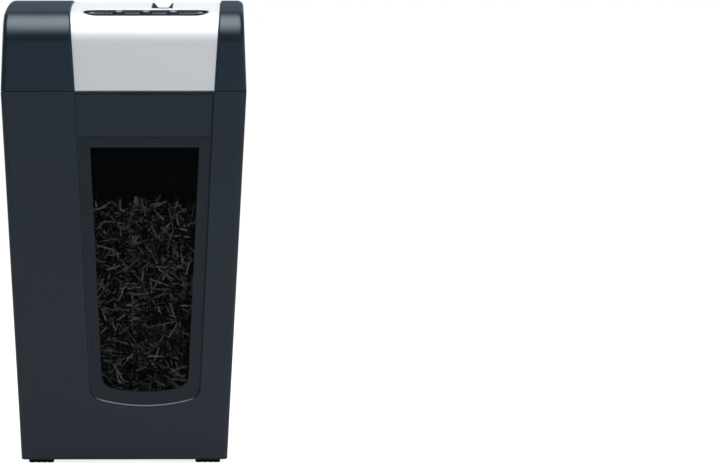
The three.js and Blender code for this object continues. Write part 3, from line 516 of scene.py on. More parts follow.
def soften(piece, radius, segments=2, angle=32, clamp=False):
    """Breaks every sharp edge, and shades the rest smooth."""
    with editing(piece):
        weld()
        bpy.ops.mesh.fill_holes(sides=3)
        bpy.ops.mesh.dissolve_degenerate(threshold=0.002 * MM)
        bpy.ops.mesh.dissolve_limited(angle_limit=math.radians(0.05))
    apply(
        piece,
        "BEVEL",
        width=radius,
        segments=segments,
        limit_method="ANGLE",
        angle_limit=math.radians(angle),
        use_clamp_overlap=clamp,
        miter_outer="MITER_SHARP",
    )
    return shaded(piece)


def shaded(piece, angle=40):
    """Smooth shading that keeps flat faces flat."""
    hold(piece)
    bpy.ops.object.shade_smooth_by_angle(angle=math.radians(angle))
    return apply(piece, "WEIGHTED_NORMAL", weight=50, keep_sharp=True)


def settle(piece, body, slot, finish, *replaced, shift=True):
    """Moves a piece from the case's own middle to its place, and gives it its body and finish."""
    if shift:
        piece.data.transform(Matrix.Translation((0, MIDDLE_Y, 0)))
    piece.data.materials.clear()
    piece.data.materials.append(finish)
    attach(piece, body)
    if replaced:
        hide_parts(*replaced)
    return piece


# ------------------------------------------------------------------ making finishes
class Level:
    """A number that varies over a surface; arithmetic on it adds Math nodes."""

    def __init__(self, maker, socket):
        self.maker, self.socket = maker, socket

    def math(self, operation, *others):
        return self.maker.add("ShaderNodeMath", {"operation": operation}, dict(enumerate((self, *others))))

    def __add__(self, other):
        return self.math("ADD", other)

    __radd__ = __add__

    def __mul__(self, other):
        return self.math("MULTIPLY", other)

    __rmul__ = __mul__

    def __sub__(self, other):
        return self.math("SUBTRACT", other)

    def __rsub__(self, other):
        return self * -1 + other

    def __truediv__(self, other):
        return self.math("DIVIDE", other)

    def __abs__(self):
        return self.math("ABSOLUTE")

    def step(self, low, high):
        """A soft step from 0 at low to 1 at high."""
        sockets = {"Value": self, "From Min": low, "From Max": high}
        return self.maker.add("ShaderNodeMapRange", {"interpolation_type": "SMOOTHSTEP"}, sockets)


class Maker:
    """Adds nodes to a node tree."""

    def __init__(self, tree):
        self.tree = tree

    def add(self, kind, settings=None, sockets=None, output=0):
        """Adds a node: its settings are set first, then its sockets are given values or links."""
        node = self.tree.nodes.new(kind)
        for name, value in (settings or {}).items():
            setattr(node, name, value)
        for key, value in (sockets or {}).items():
            if isinstance(value, Level):
                self.tree.links.new(value.socket, node.inputs[key])
            else:
                node.inputs[key].default_value = value
        return Level(self, node.outputs[output])

    def parts(self, place):
        """The three coordinates of a place."""
        split = self.add("ShaderNodeSeparateXYZ", sockets={0: place})
        return [Level(self, output) for output in split.socket.node.outputs]

    def rays(self):
        """Whether a ray comes from the camera, from a reflection or through something clear."""
        path = self.add("ShaderNodeLightPath").socket.node
        kinds = ("Is Camera Ray", "Is Glossy Ray", "Is Transmission Ray")
        return [Level(self, path.outputs[kind]) for kind in kinds]

    def blend(self, mask, first, second):
        """The first colour where the mask is 0, and the second where it is 1."""
        whole = lambda colour: colour if isinstance(colour, Level) else (*tuple(colour)[:3], 1)
        sockets = {0: mask, 6: whole(first), 7: whole(second)}
        return self.add("ShaderNodeMix", {"data_type": "RGBA"}, sockets, output=2)


class Finish(Maker):
    """A material under way: its Principled shader, and patterns on the object's own coordinates."""

    def __init__(self, name, **constants):
        self.material = bpy.data.materials.new(name)
        self.material.use_nodes = True
        super().__init__(self.material.node_tree)
        self.shader = self.tree.nodes["Principled BSDF"]
        self.place = self.add("ShaderNodeTexCoord", output="Object")
        for key, value in constants.items():
            self.set(key.replace("_", " ").title().replace("Ior", "IOR"), value)

    def set(self, socket, value):
        if isinstance(value, Level):
            self.tree.links.new(value.socket, self.shader.inputs[socket])
        else:
            self.shader.inputs[socket].default_value = value

    def axes(self):
        """The three object coordinates."""
        return self.parts(self.place)

    def round(self, x, z):
        """Distance from an axis along Y through (x, z), and the angle round it."""
        across, _, up = self.axes()
        across, up = across - x, up - z
        return (across * across + up * up).math("SQRT"), up.math("ARCTAN2", across)

    def noise(self, size, detail=2.0, stretch=(1, 1, 1)):
        """Noise from 0 to 1 with grains of a size, drawn out along the axes by a stretch."""
        scale = [1 / (size * factor) for factor in stretch]
        place = self.add("ShaderNodeMapping", sockets={"Vector": self.place, "Scale": scale})
        return self.add("ShaderNodeTexNoise", sockets={"Vector": place, "Scale": 1.0, "Detail": detail})

    def cells(self, size, randomness=1.0, feature="F1", output="Distance"):
        """Voronoi cells of a size."""
        sockets = {"Vector": self.place, "Scale": 1 / size, "Randomness": randomness}
        return self.add("ShaderNodeTexVoronoi", {"feature": feature}, sockets, output)

    def inside(self, low, high, edge=0.1 * MM):
        """1 inside a block between two corners, where None leaves a side open."""
        mask = None
        for coordinate, start, end in zip(self.axes(), low, high):
            if start is not None:
                side = coordinate.step(start - edge, start + edge)
                mask = side if mask is None else mask * side
            if end is not None:
                side = 1 - coordinate.step(end - edge, end + edge)
                mask = side if mask is None else mask * side
        return mask

    def drifting(self, colour, size, by, detail=3.0):
        """A colour that drifts lighter and darker by a share."""
        drift = self.noise(size, detail).step(0.3, 0.7)
        return self.blend(drift, shade(colour, 1 - by), shade(colour, 1 + by))

    def bump(self, height, distance, strength=1.0):
        sockets = {"Height": height, "Distance": distance, "Strength": strength}
        self.set("Normal", self.add("ShaderNodeBump", sockets=sockets))


def shade(colour, factor):
    return tuple(min(1.0, part * factor) for part in tuple(colour)[:3])


def sizes(*names):
    """The groups of sizes with these names."""
    return [getattr(bpy.context.scene, f"shredder_{name}") for name in names]


def colours():
    return bpy.context.scene.shredder_colours


def finish_with(**constants):
    """Turns a recipe into a function that makes its finish once and returns the material."""

    def keep(recipe):
        def make():
            finish = Finish(recipe.__name__, **constants)
            recipe(finish)
            return finish.material

        return cache(make)

    return keep


# ------------------------------------------------------------------ the finishes
@finish_with()
def case_plastic(finish):
    """Satin black plastic with the fine grain of a spark-eroded tool, and faint handling marks."""
    grain = finish.noise(0.5 * MM, detail=1)
    marks = finish.noise(35 * MM, detail=5)
    finish.set("Base Color", finish.drifting(colours().case, 80 * MM, 0.06))
    finish.set("Roughness", 0.26 + grain * 0.05 + marks.step(0.35, 0.75) * 0.05)
    finish.bump(grain, 0.04 * MM, 0.5)


@finish_with(specular_ior_level=0.4)
def border_plastic(finish):
    """The smoother and darker border moulded round the window."""
    grain = finish.noise(0.3 * MM, detail=1)
    finish.set("Base Color", finish.drifting(shade(colours().case, 0.8), 40 * MM, 0.08))
    finish.set("Roughness", 0.3 + grain * 0.08)
    finish.bump(grain, 0.02 * MM, 0.4)


@finish_with(specular_ior_level=0.3)
def insert_plastic(finish):
    """Plain matt black plastic with a coarser grain."""
    grain = finish.noise(0.8 * MM, detail=2)
    finish.set("Base Color", finish.drifting(colours().insert, 50 * MM, 0.12))
    finish.set("Roughness", 0.46 + grain * 0.12)
    finish.bump(grain, 0.05 * MM, 0.5)


@finish_with(metallic=0.35)
def silver_paint(finish):
    """Silver lacquer with fine metal flake."""
    flake = finish.cells(0.35 * MM, output="Color").math("FRACT")
    finish.set("Base Color", finish.blend(flake, shade(colours().silver, 0.96), colours().silver))
    finish.set("Roughness", 0.45 + finish.noise(45 * MM, detail=4) * 0.06)
    finish.bump(finish.noise(0.5 * MM, detail=1), 0.008 * MM, 0.4)


@finish_with(specular_ior_level=0.35, coat_weight=0.15, coat_roughness=0.06)
def panel_gloss(finish):
    """Polished black, with faint fine scratches and finger marks."""
    scratches = finish.noise(0.25 * MM, detail=2, stretch=(40, 1.5, 1)).step(0.68, 0.8)
    smears = finish.noise(14 * MM, detail=4).step(0.45, 0.75)
    finish.set("Base Color", finish.blend(scratches, colours().gloss, shade(colours().gloss, 2.5)))
    finish.set("Roughness", 0.16 + smears * 0.08 + scratches * 0.1)


@finish_with(coat_weight=0.8, coat_roughness=0.15)
def button_plastic(finish):
    """Satin black caps, a little worn in the middle of the dish."""
    finish.set("Base Color", finish.drifting(shade(colours().case, 0.8), 3 * MM, 0.15))
    finish.set("Roughness", 0.26 + finish.noise(2 * MM, detail=3) * 0.12)


@finish_with(specular_ior_level=0.3)
def symbol_ink(finish):
    """Pale grey of the symbols on the buttons and the switch."""
    finish.set("Base Color", finish.drifting((0.62, 0.64, 0.66), 1 * MM, 0.06))
    finish.set("Roughness", 0.5 + finish.noise(0.4 * MM) * 0.1)


@finish_with(specular_ior_level=0.02)
def smoked_window(finish):
    """Dark smoked acrylic that the paper shows through, with faint scratches from the paper dust."""
    dust = finish.noise(6 * MM, detail=6).step(0.5, 0.8)
    finish.set("Base Color", finish.blend(dust, colours().smoke, shade(colours().smoke, 1.6)))
    finish.set("Roughness", 0.07 + dust * 0.06)
    finish.set("Alpha", 0.5 + dust * 0.03)


@finish_with(subsurface_weight=0.3, subsurface_scale=0.002)
def lens_plastic(finish):
    """Frosted clear plastic of the status lights."""
    finish.set("Base Color", finish.drifting(colours().lens, 1 * MM, 0.03))
    finish.set("Roughness", 0.22 + finish.noise(0.5 * MM) * 0.1)


@finish_with()
def white_plastic(finish):
    """Slippery white plastic of the interlock pin."""
    finish.set("Base Color", finish.drifting((0.75, 0.74, 0.7), 3 * MM, 0.05))
    finish.set("Roughness", 0.4 + finish.noise(1 * MM) * 0.1)


@finish_with(specular_ior_level=0.25)
def rubber(finish):
    """Matt black rubber, dusty in the low places of its grain."""
    grain = finish.noise(0.7 * MM, detail=3)
    dust = finish.noise(9 * MM, detail=4).step(0.45, 0.8)
    finish.set("Base Color", finish.blend(dust * 0.5, colours().rubber, shade(colours().rubber, 3.0)))
    finish.set("Roughness", 0.72 + grain * 0.2)
    finish.bump(grain, 0.08 * MM, 0.6)


@finish_with(specular_ior_level=0.2)
def paper(finish):
    """Office paper: each strip is painted with its own level of light and shade, from near black to brighter
    than the paper, and some carry lines of print.
    """
    # the attribute "shade" carries each strip's painted level of light and shade
    painted_light = finish.add("ShaderNodeAttribute", {"attribute_name": "shade"}, output="Fac")
    print_lines = finish.noise(1.1 * MM, detail=2, stretch=(1, 4, 1)).step(0.62, 0.66)
    print_lines = print_lines * (1 - painted_light.step(0.5, 0.52))
    # painted light and shade: from the paper in deep painted shade (3 %) to the paper lit brighter than its
    # own colour (150 %)
    sheet = finish.blend(painted_light, shade(colours().paper, 0.03), shade(colours().paper, 1.5))
    finish.set("Base Color", finish.blend(print_lines * 0.7, sheet, (0.05, 0.05, 0.06)))
    finish.set("Roughness", 0.8 + finish.noise(0.6 * MM) * 0.1)
    finish.bump(finish.noise(0.4 * MM, detail=2), 0.02 * MM, 0.5)


@finish_with(specular_ior_level=0.2)
def packed_paper(finish):
    """The paper below the loose strips, seen only in the gaps between them, and painted almost black as the
    shade deep in the bin.
    """
    strands = finish.cells(5 * MM, output="Distance")
    # painted shade: the white paper is drawn at only 2 to 10 % of its colour
    dark, light = shade(colours().paper, 0.02), shade(colours().paper, 0.1)
    finish.set("Base Color", finish.blend(strands.step(0.1, 0.8), dark, light))
    finish.set("Roughness", 0.85 + finish.noise(2 * MM) * 0.1)
    finish.bump(strands, 1.5 * MM, 0.8)


@finish_with(metallic=1.0)
def turned_steel(finish):
    """Hardened steel turned along Y, with fine tool rings and a light film of oil."""
    rings = finish.noise(0.25 * MM, detail=2, stretch=(40, 1, 40))
    oil = finish.noise(7 * MM, detail=4).step(0.5, 0.7)
    finish.set("Base Color", finish.blend(oil * 0.5, colours().steel, shade(colours().steel, 0.6)))
    finish.set("Roughness", 0.24 + rings * 0.16 + oil * 0.05)
    finish.bump(rings, 0.02 * MM, 0.5)


@finish_with(metallic=1.0)
def cutter_steel(finish):
    """Ground cutter discs, darker in the hooks, with paper dust on the spacers."""
    grind = finish.noise(0.3 * MM, detail=2, stretch=(1, 25, 1))
    dust = finish.noise(3 * MM, detail=5).step(0.55, 0.75)
    finish.set("Base Color", finish.blend(dust * 0.5, shade(colours().steel, 0.85), (0.5, 0.49, 0.46)))
    finish.set("Metallic", 1 - dust * 0.5)
    finish.set("Roughness", 0.28 + grind * 0.14 + dust * 0.3)
    finish.bump(grind, 0.02 * MM, 0.5)


@finish_with(metallic=0.9)
def zinc_plate(finish):
    """Stamped steel plate with a zinc skin in pale cloudy crystals."""
    crystals = finish.cells(7 * MM, output="Color").math("FRACT")
    finish.set("Base Color", finish.blend(crystals, shade(colours().zinc, 0.82), colours().zinc))
    finish.set("Roughness", 0.36 + crystals * 0.12 + finish.noise(1 * MM) * 0.05)
    finish.bump(finish.noise(0.6 * MM, detail=3), 0.02 * MM, 0.4)


@finish_with(metallic=0.9)
def gear_steel(finish):
    """Sintered steel: dark, finely pitted and oiled."""
    pits = finish.cells(0.7 * MM, output="Distance").step(0.05, 0.3)
    grease = finish.noise(5 * MM, detail=3).step(0.52, 0.66)
    finish.set("Base Color", finish.blend(grease * 0.6, colours().gear_steel, (0.14, 0.09, 0.04)))
    finish.set("Roughness", 0.42 - grease * 0.2 + pits * 0.05)
    finish.bump(pits, 0.05 * MM, 0.5)


@finish_with(subsurface_weight=0.15, subsurface_scale=0.002)
def gear_nylon(finish):
    """Ivory nylon with a moulded bloom and traces of grease."""
    grease = finish.noise(5 * MM, detail=3).step(0.55, 0.7)
    finish.set("Base Color", finish.blend(grease * 0.5, colours().nylon, (0.45, 0.34, 0.18)))
    finish.set("Roughness", 0.42 - grease * 0.2 + finish.noise(1 * MM) * 0.1)


@finish_with(metallic=1.0)
def bush_bronze(finish):
    """Oil-filled sintered bronze."""
    pores = finish.cells(0.5 * MM, output="Distance").step(0.1, 0.35)
    finish.set("Base Color", finish.blend(pores, shade(colours().bronze, 0.5), colours().bronze))
    finish.set("Roughness", 0.34 + pores * 0.1)
    finish.bump(pores, 0.03 * MM, 0.5)


@finish_with(metallic=0.85)
def motor_can_steel(finish):
    """Drawn and plated steel, with a dark seam of lacquer round its open end."""
    drawn = finish.noise(0.6 * MM, detail=3, stretch=(1, 30, 1))
    _, y, _ = finish.axes()
    lacquer = 1 - y.step(0.026, 0.0265)
    plated = finish.drifting(colours().motor, 12 * MM, 0.1)
    finish.set("Base Color", finish.blend(lacquer * 0.8, plated, (0.02, 0.02, 0.02)))
    finish.set("Roughness", 0.3 + drawn * 0.16)
    finish.bump(drawn, 0.02 * MM, 0.4)


@finish_with(metallic=0.9)
def armature(finish):
    """A steel shaft, copper commutator bars, a core of thin steel plates, and enamelled copper windings."""
    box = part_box("motor_armature")
    radius, angle = finish.round((box[0].x + box[1].x) / 2, (box[0].z + box[1].z) / 2)
    _, y, _ = finish.axes()
    start = box[0].y
    away = radius.step(3.4 * MM, 3.8 * MM)
    commutator = away * (1 - y.step(start + 33 * MM, start + 34 * MM))
    core = y.step(start + 46 * MM, start + 46.5 * MM) * (1 - y.step(start + 89.5 * MM, start + 90 * MM))
    bars = (angle * 12).math("SINE").step(-0.9, -0.7)
    wires = (angle * 90).math("SINE").step(-0.6, 0.6)
    plates = (y * (math.tau / (0.5 * MM))).math("SINE").step(-0.5, 0.5)
    copper = finish.blend(wires, shade(colours().copper, 0.45), colours().copper)
    copper = finish.blend(commutator * (1 - bars), copper, (0.05, 0.03, 0.02))
    iron = finish.blend(plates, (0.16, 0.16, 0.17), (0.36, 0.37, 0.38))
    wound = finish.blend(core, copper, iron)
    finish.set("Base Color", finish.blend(away, colours().steel, wound))
    finish.set("Roughness", 0.3 + wires * 0.1 + plates * 0.05)
    finish.bump(away * (wires * (1 - core) + plates * core), 0.15 * MM, 0.6)


def board_finish(name, top_z, parts):
    """A green board with pale traces; each part on it is a block with a colour and a metalness."""
    finish = Finish(name, specular_ior_level=0.5)
    _, _, z = finish.axes()
    traces = finish.cells(4 * MM, randomness=0.35, feature="DISTANCE_TO_EDGE").step(0.06, 0.09)
    colour = finish.blend(1 - traces, colours().board, shade(colours().board, 1.9))
    above = z.step(top_z, top_z + 0.1 * MM)
    colour = finish.blend(above, colour, (0.02, 0.02, 0.022))
    metal = above * 0
    for low, high, tint, metalness in parts:
        mask = finish.inside((*low, top_z), (*high, None))
        colour = finish.blend(mask, colour, tint)
        metal = metal + mask * metalness
    finish.set("Base Color", colour)
    finish.set("Metallic", metal)
    finish.set("Roughness", 0.35 + finish.noise(1.5 * MM, detail=3) * 0.15)
    finish.bump(traces, 0.03 * MM, 0.4)
    return finish.material


@cache
def control_board_finish():
    controls = bpy.context.scene.shredder_controls
    switches = [controls.x + i * controls.spacing for i in (-1, 0, 1)]
    y = controls.button_y + MIDDLE_Y
    parts = [((x - 4 * MM, y - 3 * MM), (x + 4 * MM, y + 5 * MM), (0.55, 0.55, 0.56), 0.9) for x in switches]
    return board_finish("control_board", controls.board_z, parts)


@cache
def power_board_finish():
    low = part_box("power_board")[0]
    place = lambda x, y: (low.x + x * MM, low.y + y * MM)
    parts = [
        (place(4, 9), place(38, 43), (0.3, 0.3, 0.31), 0.8),
        (place(4, 17), place(38, 35), (0.62, 0.42, 0.06), 0.0),
        (place(40, 13), place(52, 33), (0.02, 0.06, 0.2), 0.0),
        (place(36, 49), place(52, 77), (0.05, 0.22, 0.1), 0.0),
    ]
    return board_finish("power_board", low.z + 1.6 * MM, parts)


# ------------------------------------------------------------------ the case's own forms
# Cutting tools run past what they cut, each by a length of its own, so that no two faces meet in one plane.
FAR_X, FAR_Y, PAST = 0.2, 0.22, 0.02
TRIALS = 20


def arch(half, lean, base_z, centre_z, radius, corner, low_z, corner_steps=14, crown_steps=36):
    """Outline moves for leaning sides closed by one wide arc with rounded corners.

    The half width is taken at base_z. The corner's centre is found by trial, on both its side and the arc.
    """
    reach = corner * math.hypot(1, lean)
    z = centre_z + radius - corner
    for _ in range(TRIALS):
        u = half - (z - base_z) * lean - reach
        z = centre_z + math.sqrt((radius - corner) ** 2 - u * u)
    start, end = math.atan(lean), math.atan2(z - centre_z, u)
    foot = half - (low_z - base_z) * lean
    beside = (u + corner * math.cos(start), z + corner * math.sin(start))
    return [
        (foot, low_z),
        beside,
        ((u, z), end - start, corner_steps),
        ((0, centre_z), math.pi - 2 * end, crown_steps),
        ((-u, z), end - start, corner_steps),
        (-foot, low_z),
    ]


def hung(moves, x):
    """The same outline upside down about the height 0, and moved sideways."""
    turned_over = []
    for move in moves:
        if len(move) == 3:
            (u, v), sweep, steps = move
            turned_over.append(((u + x, -v), -sweep, steps))
        else:
            turned_over.append((move[0] + x, -move[1]))
    return turned_over


def rounded_rectangle(x, y, half_x, half_y, radius, steps=8):
    """Outline moves, counter-clockwise from the lower right corner."""
    moves = []
    for quarter, (i, j) in enumerate(((1, -1), (1, 1), (-1, 1), (-1, -1))):
        angle = (quarter - 1) * math.pi / 2
        centre = (x + i * (half_x - radius), y + j * (half_y - radius))
        start = (centre[0] + radius * math.cos(angle), centre[1] + radius * math.sin(angle))
        moves += [start, (centre, math.pi / 2, steps)]
    return moves


def plane(point, out):
    return Vector(point), Vector(out).normalized()


def side_plane(case, side, lean, inset=0.0):
    """A side face: lean is positive where the case narrows upwards."""
    return plane((side * (case.half_width - inset), 0, case.seam_z), (side, 0, lean))


def end_plane(case, end, lean, inset=0.0):
    """The front face, where end is -1, or the rear face."""
    return plane((0, end * (case.half_depth - inset), case.seam_z), (0, end, lean))


def level(z, out):
    return plane((0, 0, z), (0, 0, out))


def behind(face):
    """The same plane, to cut away what lies inside it."""
    return face[0], -face[1]


def lies_on(part, *planes):
    """Whether every vertex of an edge or face is on one of the planes."""
    near = lambda point, face: abs((point - face[0]).dot(face[1])) < 0.01 * MM
    return any(all(near(v.co, face) for v in part.verts) for face in planes)


def head_outline(case, inset, low_z):
    return arch(
        half=case.half_depth - inset * math.hypot(1, case.head_end_lean),
        lean=case.head_end_lean,
        base_z=case.seam_z,
        centre_z=case.top_z - case.crown_radius,
        radius=case.crown_radius - inset,
        corner=case.corner_radius - inset,
        low_z=low_z,
    )


def head_core(case, inset, low_z=0.25, reach=FAR_X):
    """What lies below the head's end faces and crown at an inset, run right across the case."""
    return prism("head_core", "X", -reach, reach, *head_outline(case, inset, low_z))


def head_form(case, inset=0.0, low_z=0.28):
    """The head's form at an inset, run on below the seam, with its side faces' edges rounded."""
    form = head_core(case, inset, low_z)
    sides = [side_plane(case, side, case.head_side_lean, inset) for side in (-1, 1)]
    foot = level(low_z, -1)
    trim(form, *sides)
    rim = lambda edge: lies_on(edge, *sides) and not lies_on(edge, foot)
    return round_edges(form, max(case.edge_radius - inset, MM), rim)


def head_recess(case, cheek, side, grow=0.0):
    """The sunk panel in one side of the head, with walls at 45 degrees."""
    depth, spread = cheek.depth + grow, grow * math.sqrt(2)
    outline = arch(
        half=cheek.half_depth + spread,
        lean=cheek.lean,
        base_z=case.seam_z,
        centre_z=case.top_z - case.crown_radius,
        radius=case.crown_radius - cheek.drop + spread,
        corner=cheek.corner + grow,
        low_z=0.27,
    )
    form = prism("recess", "X", case.half_width - 2 * depth, case.half_width + 2 * depth, *outline)
    floor = side_plane(case, 1, case.head_side_lean, depth)
    trim(form, behind(floor))
    round_edges(form, depth, lambda edge: lies_on(edge, floor), segments=1)
    return form if side > 0 else flipped(form)


def band_form(case, band, grow, low_z, high_z):
    """The silver band's elevation, run right through the case."""
    half = lambda z: band.half_width + grow + (z - case.seam_z) * band.flare
    corners = [(side, z) for side, z in ((1, low_z), (1, high_z), (-1, high_z), (-1, low_z))]
    return prism("band", "Y", -FAR_Y, FAR_Y, *((band.x + side * half(z), z) for side, z in corners))


def cover_form(case, band, grow, inset, low_z):
    """Where the silver cover lies: the band outside an inset of the head, without the rear face."""
    form = band_form(case, band, grow, low_z, case.top_z + PAST)
    carve(form, head_core(case, inset))
    middle_y, behind_y = 0.06, 0.3
    return carve(form, block("rear", (-FAR_X, middle_y, 0), (FAR_X, behind_y, band.rear_z - grow)))


def bin_form(case, inset, low_z, high_z):
    """The bin's tapered form at an inset, with its upright edges rounded."""
    sides = [side_plane(case, side, -case.bin_side_lean, inset) for side in (-1, 1)]
    ends = [end_plane(case, end, -case.bin_end_lean, inset) for end in (-1, 1)]
    far_y = 0.3
    form = trim(block("bin_form", (-FAR_X, -far_y, low_z), (FAR_X, far_y, high_z)), *sides, *ends)
    upright = lambda edge: lies_on(edge, *sides) and lies_on(edge, *ends)
    return round_edges(form, max(case.edge_radius - inset, MM), upright)


def bin_trough(case, trough, side, low_z, high_z, depth, deepening, grow=0.0):
    """A trough with 45 degree walls in one side of the bin; it loses depth downwards by the deepening."""
    half = trough.half_depth + grow * math.sqrt(2)
    inner_x, outer_x = 0.06, 0.14
    form = block("trough", (inner_x, -FAR_X, low_z), (outer_x, FAR_X, high_z))
    lean = case.bin_side_lean
    floor = side_plane(case, 1, deepening - lean, depth + grow)
    edge = (case.half_width, 0, case.seam_z)
    walls = [plane((edge[0], end * half, edge[2]), (-1, end, lean)) for end in (-1, 1)]
    trim(form, behind(floor), *walls)
    return form if side > 0 else flipped(form)


def hanging_arch(case, band, inset, corner, top_z, depth, chamfer=0.0, outside=0.02, rise=0.0):
    """The hanging arch of the bin's front, from outside the leaning front face to a depth behind it."""
    outline = arch(
        half=band.half_width - inset * math.hypot(1, band.taper),
        lean=band.taper,
        base_z=-case.seam_z,
        centre_z=-band.arch_z - rise,
        radius=band.arch_radius - inset,
        corner=corner,
        low_z=-top_z,
        crown_steps=28,
    )
    inner_y = -0.1
    form = prism("hanging_arch", "Y", -FAR_Y, inner_y, *hung(outline, band.x))
    near = end_plane(case, -1, -case.bin_end_lean, -outside)
    far = end_plane(case, -1, -case.bin_end_lean, depth)
    trim(form, near, behind(far))
    if chamfer:
        round_edges(form, chamfer, lambda edge: lies_on(edge, far), segments=1)
    return form


def clear_window(case, band, depth):
    """The opening that the paper is seen through."""
    place = (band.window_inset, band.window_corner, band.window_top_z)
    return hanging_arch(case, band, *place, depth, rise=band.window_rise)


def throat_form(case, throat, grow=0.0):
    """The straight-sided space of the feed throat."""
    half, end = throat.half_width + grow, throat.half_length + grow
    return block("throat", (throat.x - half, -end, throat.low_z), (throat.x + half, end, case.top_z + PAST))


def panel_form(case, controls, grow=0.0):
    """The control panel's outline, run upwards."""
    halves = (controls.half_x + grow, controls.half_y + grow)
    outline = rounded_rectangle(controls.x, controls.y, *halves, controls.corner + grow)
    under_z = 0.36
    return prism("panel", "Z", under_z, case.top_z + PAST / 2, *outline)


# ------------------------------------------------------------------ the head
class SHREDDER_OT_head_casing(bpy.types.Operator):
    """Model the head's black casing, with its sunk sides, cooling slits and the seat of the silver cover"""

    bl_idname = "shredder.head_casing"
    bl_label = "Head Casing"

    def execute(self, context):
        case, band, cheek = sizes("case", "band", "cheek")
        throat, controls, rear = sizes("throat", "controls", "rear")
        foot = level(case.seam_z + case.seam_gap / 2, -1)
        shell = trim(head_form(case), foot)
        shell.name = "head_casing"
        seat = band.sink + band.thickness + case.gap
        hollow = head_form(case, case.wall, 0.27)
        carve(hollow, cover_form(case, band, case.gap + case.wall, seat + case.wall, 0.26))
        carve(hollow, *(head_recess(case, cheek, side, case.wall) for side in (-1, 1)))
        carve(shell, hollow, cover_form(case, band, case.gap, seat, 0.29))
        self.round_cheeks(shell, case, band, foot)
        carve(shell, *(head_recess(case, cheek, side) for side in (-1, 1)))
        carve(shell, *self.slits(case, cheek), *self.reliefs(case, cheek))
        carve(shell, throat_form(case, throat, case.gap), self.board_window(case, controls))
        carve(shell, *self.rear_holes(rear))
        soften(shell, 0.4 * MM)
        settle(shell, "head", "case_plastic", case_plastic(), "head_shell")
        # black cards behind the slits are dark sheets that paint the shade seen through them
        self.cards(case, cheek)
        return {"FINISHED"}

    def cards(self, case, cheek):
        """A folded black card stands behind the cooling slits of each side, on the base's edge, as a dark
        sheet that paints the shade seen through the slits.
        """
        low_z, high_z = case.seam_z + 2.5 * MM, cheek.slit_top_z + 6 * MM
        x, sheet, half = 91.5 * MM, 0.6 * MM, 34 * MM
        rise, lip, back_rise, back_lip = 2 * MM, 3 * MM, 2.4 * MM, 3.5 * MM
        outline = [
            (x, low_z + rise),
            (x, high_z - rise),
            (x - lip, high_z),
            (x - back_lip, high_z - sheet),
            (x - sheet, high_z - back_rise),
            (x - sheet, low_z + back_rise),
            (x - back_lip, low_z + sheet),
            (x - lip, low_z),
        ]
        for name, middle in (("front", cheek.slits_front_y), ("rear", cheek.slits_rear_y)):
            card = prism(f"card_{name}_right", "Y", middle - half, middle + half, *outline)
            for piece in (flipped(copied(card, name=f"card_{name}_left")), card):
                # the card's black stands in for the shade behind the slits
                settle(soften(piece, 0.15 * MM), "head", "insert_plastic", insert_plastic())

    def round_cheeks(self, shell, case, band, foot):
        """Rounds the cheeks where they stand over the silver cover."""

        def beside_band(vertex):
            x, y, z = vertex.co
            half = band.half_width + case.gap + (z - case.seam_z) * band.flare
            in_rear_corner = y > 0 and z < band.rear_z + 3 * MM
            return abs(abs(x - band.x) - half) < 0.25 * MM and not in_rear_corner

        def rim(edge):
            corner = edge.is_convex and edge.calc_face_angle(0) > 1
            return corner and all(map(beside_band, edge.verts)) and not lies_on(edge, foot)

        round_edges(shell, band.cheek_radius, rim, segments=4)

    def slits(self, case, cheek):
        """Twelve cooling slits for each side, narrower and rounded at the top."""
        low_z = case.seam_z - 4 * MM
        top_z = cheek.slit_top_z - cheek.slit_half_top
        outline = [
            (cheek.slit_half_low, low_z),
            (cheek.slit_half_top, top_z),
            ((0, top_z), math.pi, 8),
            (-cheek.slit_half_low, low_z),
        ]
        slit = prism("slit", "X", case.half_width - 16 * MM, case.half_width - 4 * MM, *outline)
        groups = (cheek.slits_front_y, cheek.slits_rear_y)
        places = [middle + (i - 2.5) * cheek.slit_pitch for middle in groups for i in range(6)]
        right = joined([copied(slit, (0, y, 0)) for y in places])
        bpy.data.objects.remove(slit)
        return both_sides(right)

    def reliefs(self, case, cheek):
        """The sunk panels end a little higher than the rest of the head."""
        half = cheek.half_depth - 4 * MM
        top_z = case.seam_z + case.seam_gap / 2 + 1.1 * MM
        inner_x, outer_x = 0.0975, 0.14
        right = block("relief", (inner_x, -half, case.seam_z - PAST / 2), (outer_x, half, top_z))
        return both_sides(right)

    def board_window(self, case, controls):
        """The opening under the control panel."""
        low = (controls.x - 50 * MM, controls.y - 9 * MM, 0.36)
        high = (controls.x + 50 * MM, controls.y + 13 * MM, case.top_z)
        return block("board_window", low, high)

    def rear_holes(self, rear):
        x, z = rear.switch_x, rear.z
        switch = block("switch_hole", (x - 9 * MM, 0.15, z - 6 * MM), (x + 9 * MM, 0.2, z + 6 * MM))
        return [switch, round_bar("gland_hole", rear.gland_x, z, 6.3 * MM, 0.15, 0.2)]


class SHREDDER_OT_silver_cover(bpy.types.Operator):
    """Model the silver cover that runs from the seam up the front and over the crown"""

    bl_idname = "shredder.silver_cover"
    bl_label = "Silver Cover"

    def execute(self, context):
        case, band, throat, controls = sizes("case", "band", "throat", "controls")
        cover = cover_form(case, band, 0, band.sink + band.thickness, 0.29)
        cover.name = "silver_cover"
        carve(cover, head_core(case, band.sink), operation="INTERSECT")
        carve(cover, throat_form(case, throat, case.gap))
        carve(cover, panel_form(case, controls, case.gap))
        soften(trim(cover, level(case.seam_z + case.seam_gap / 2, -1)), 0.4 * MM, segments=3)
        settle(cover, "head", "silver_cover", silver_paint(), "top_fascia")
        return {"FINISHED"}


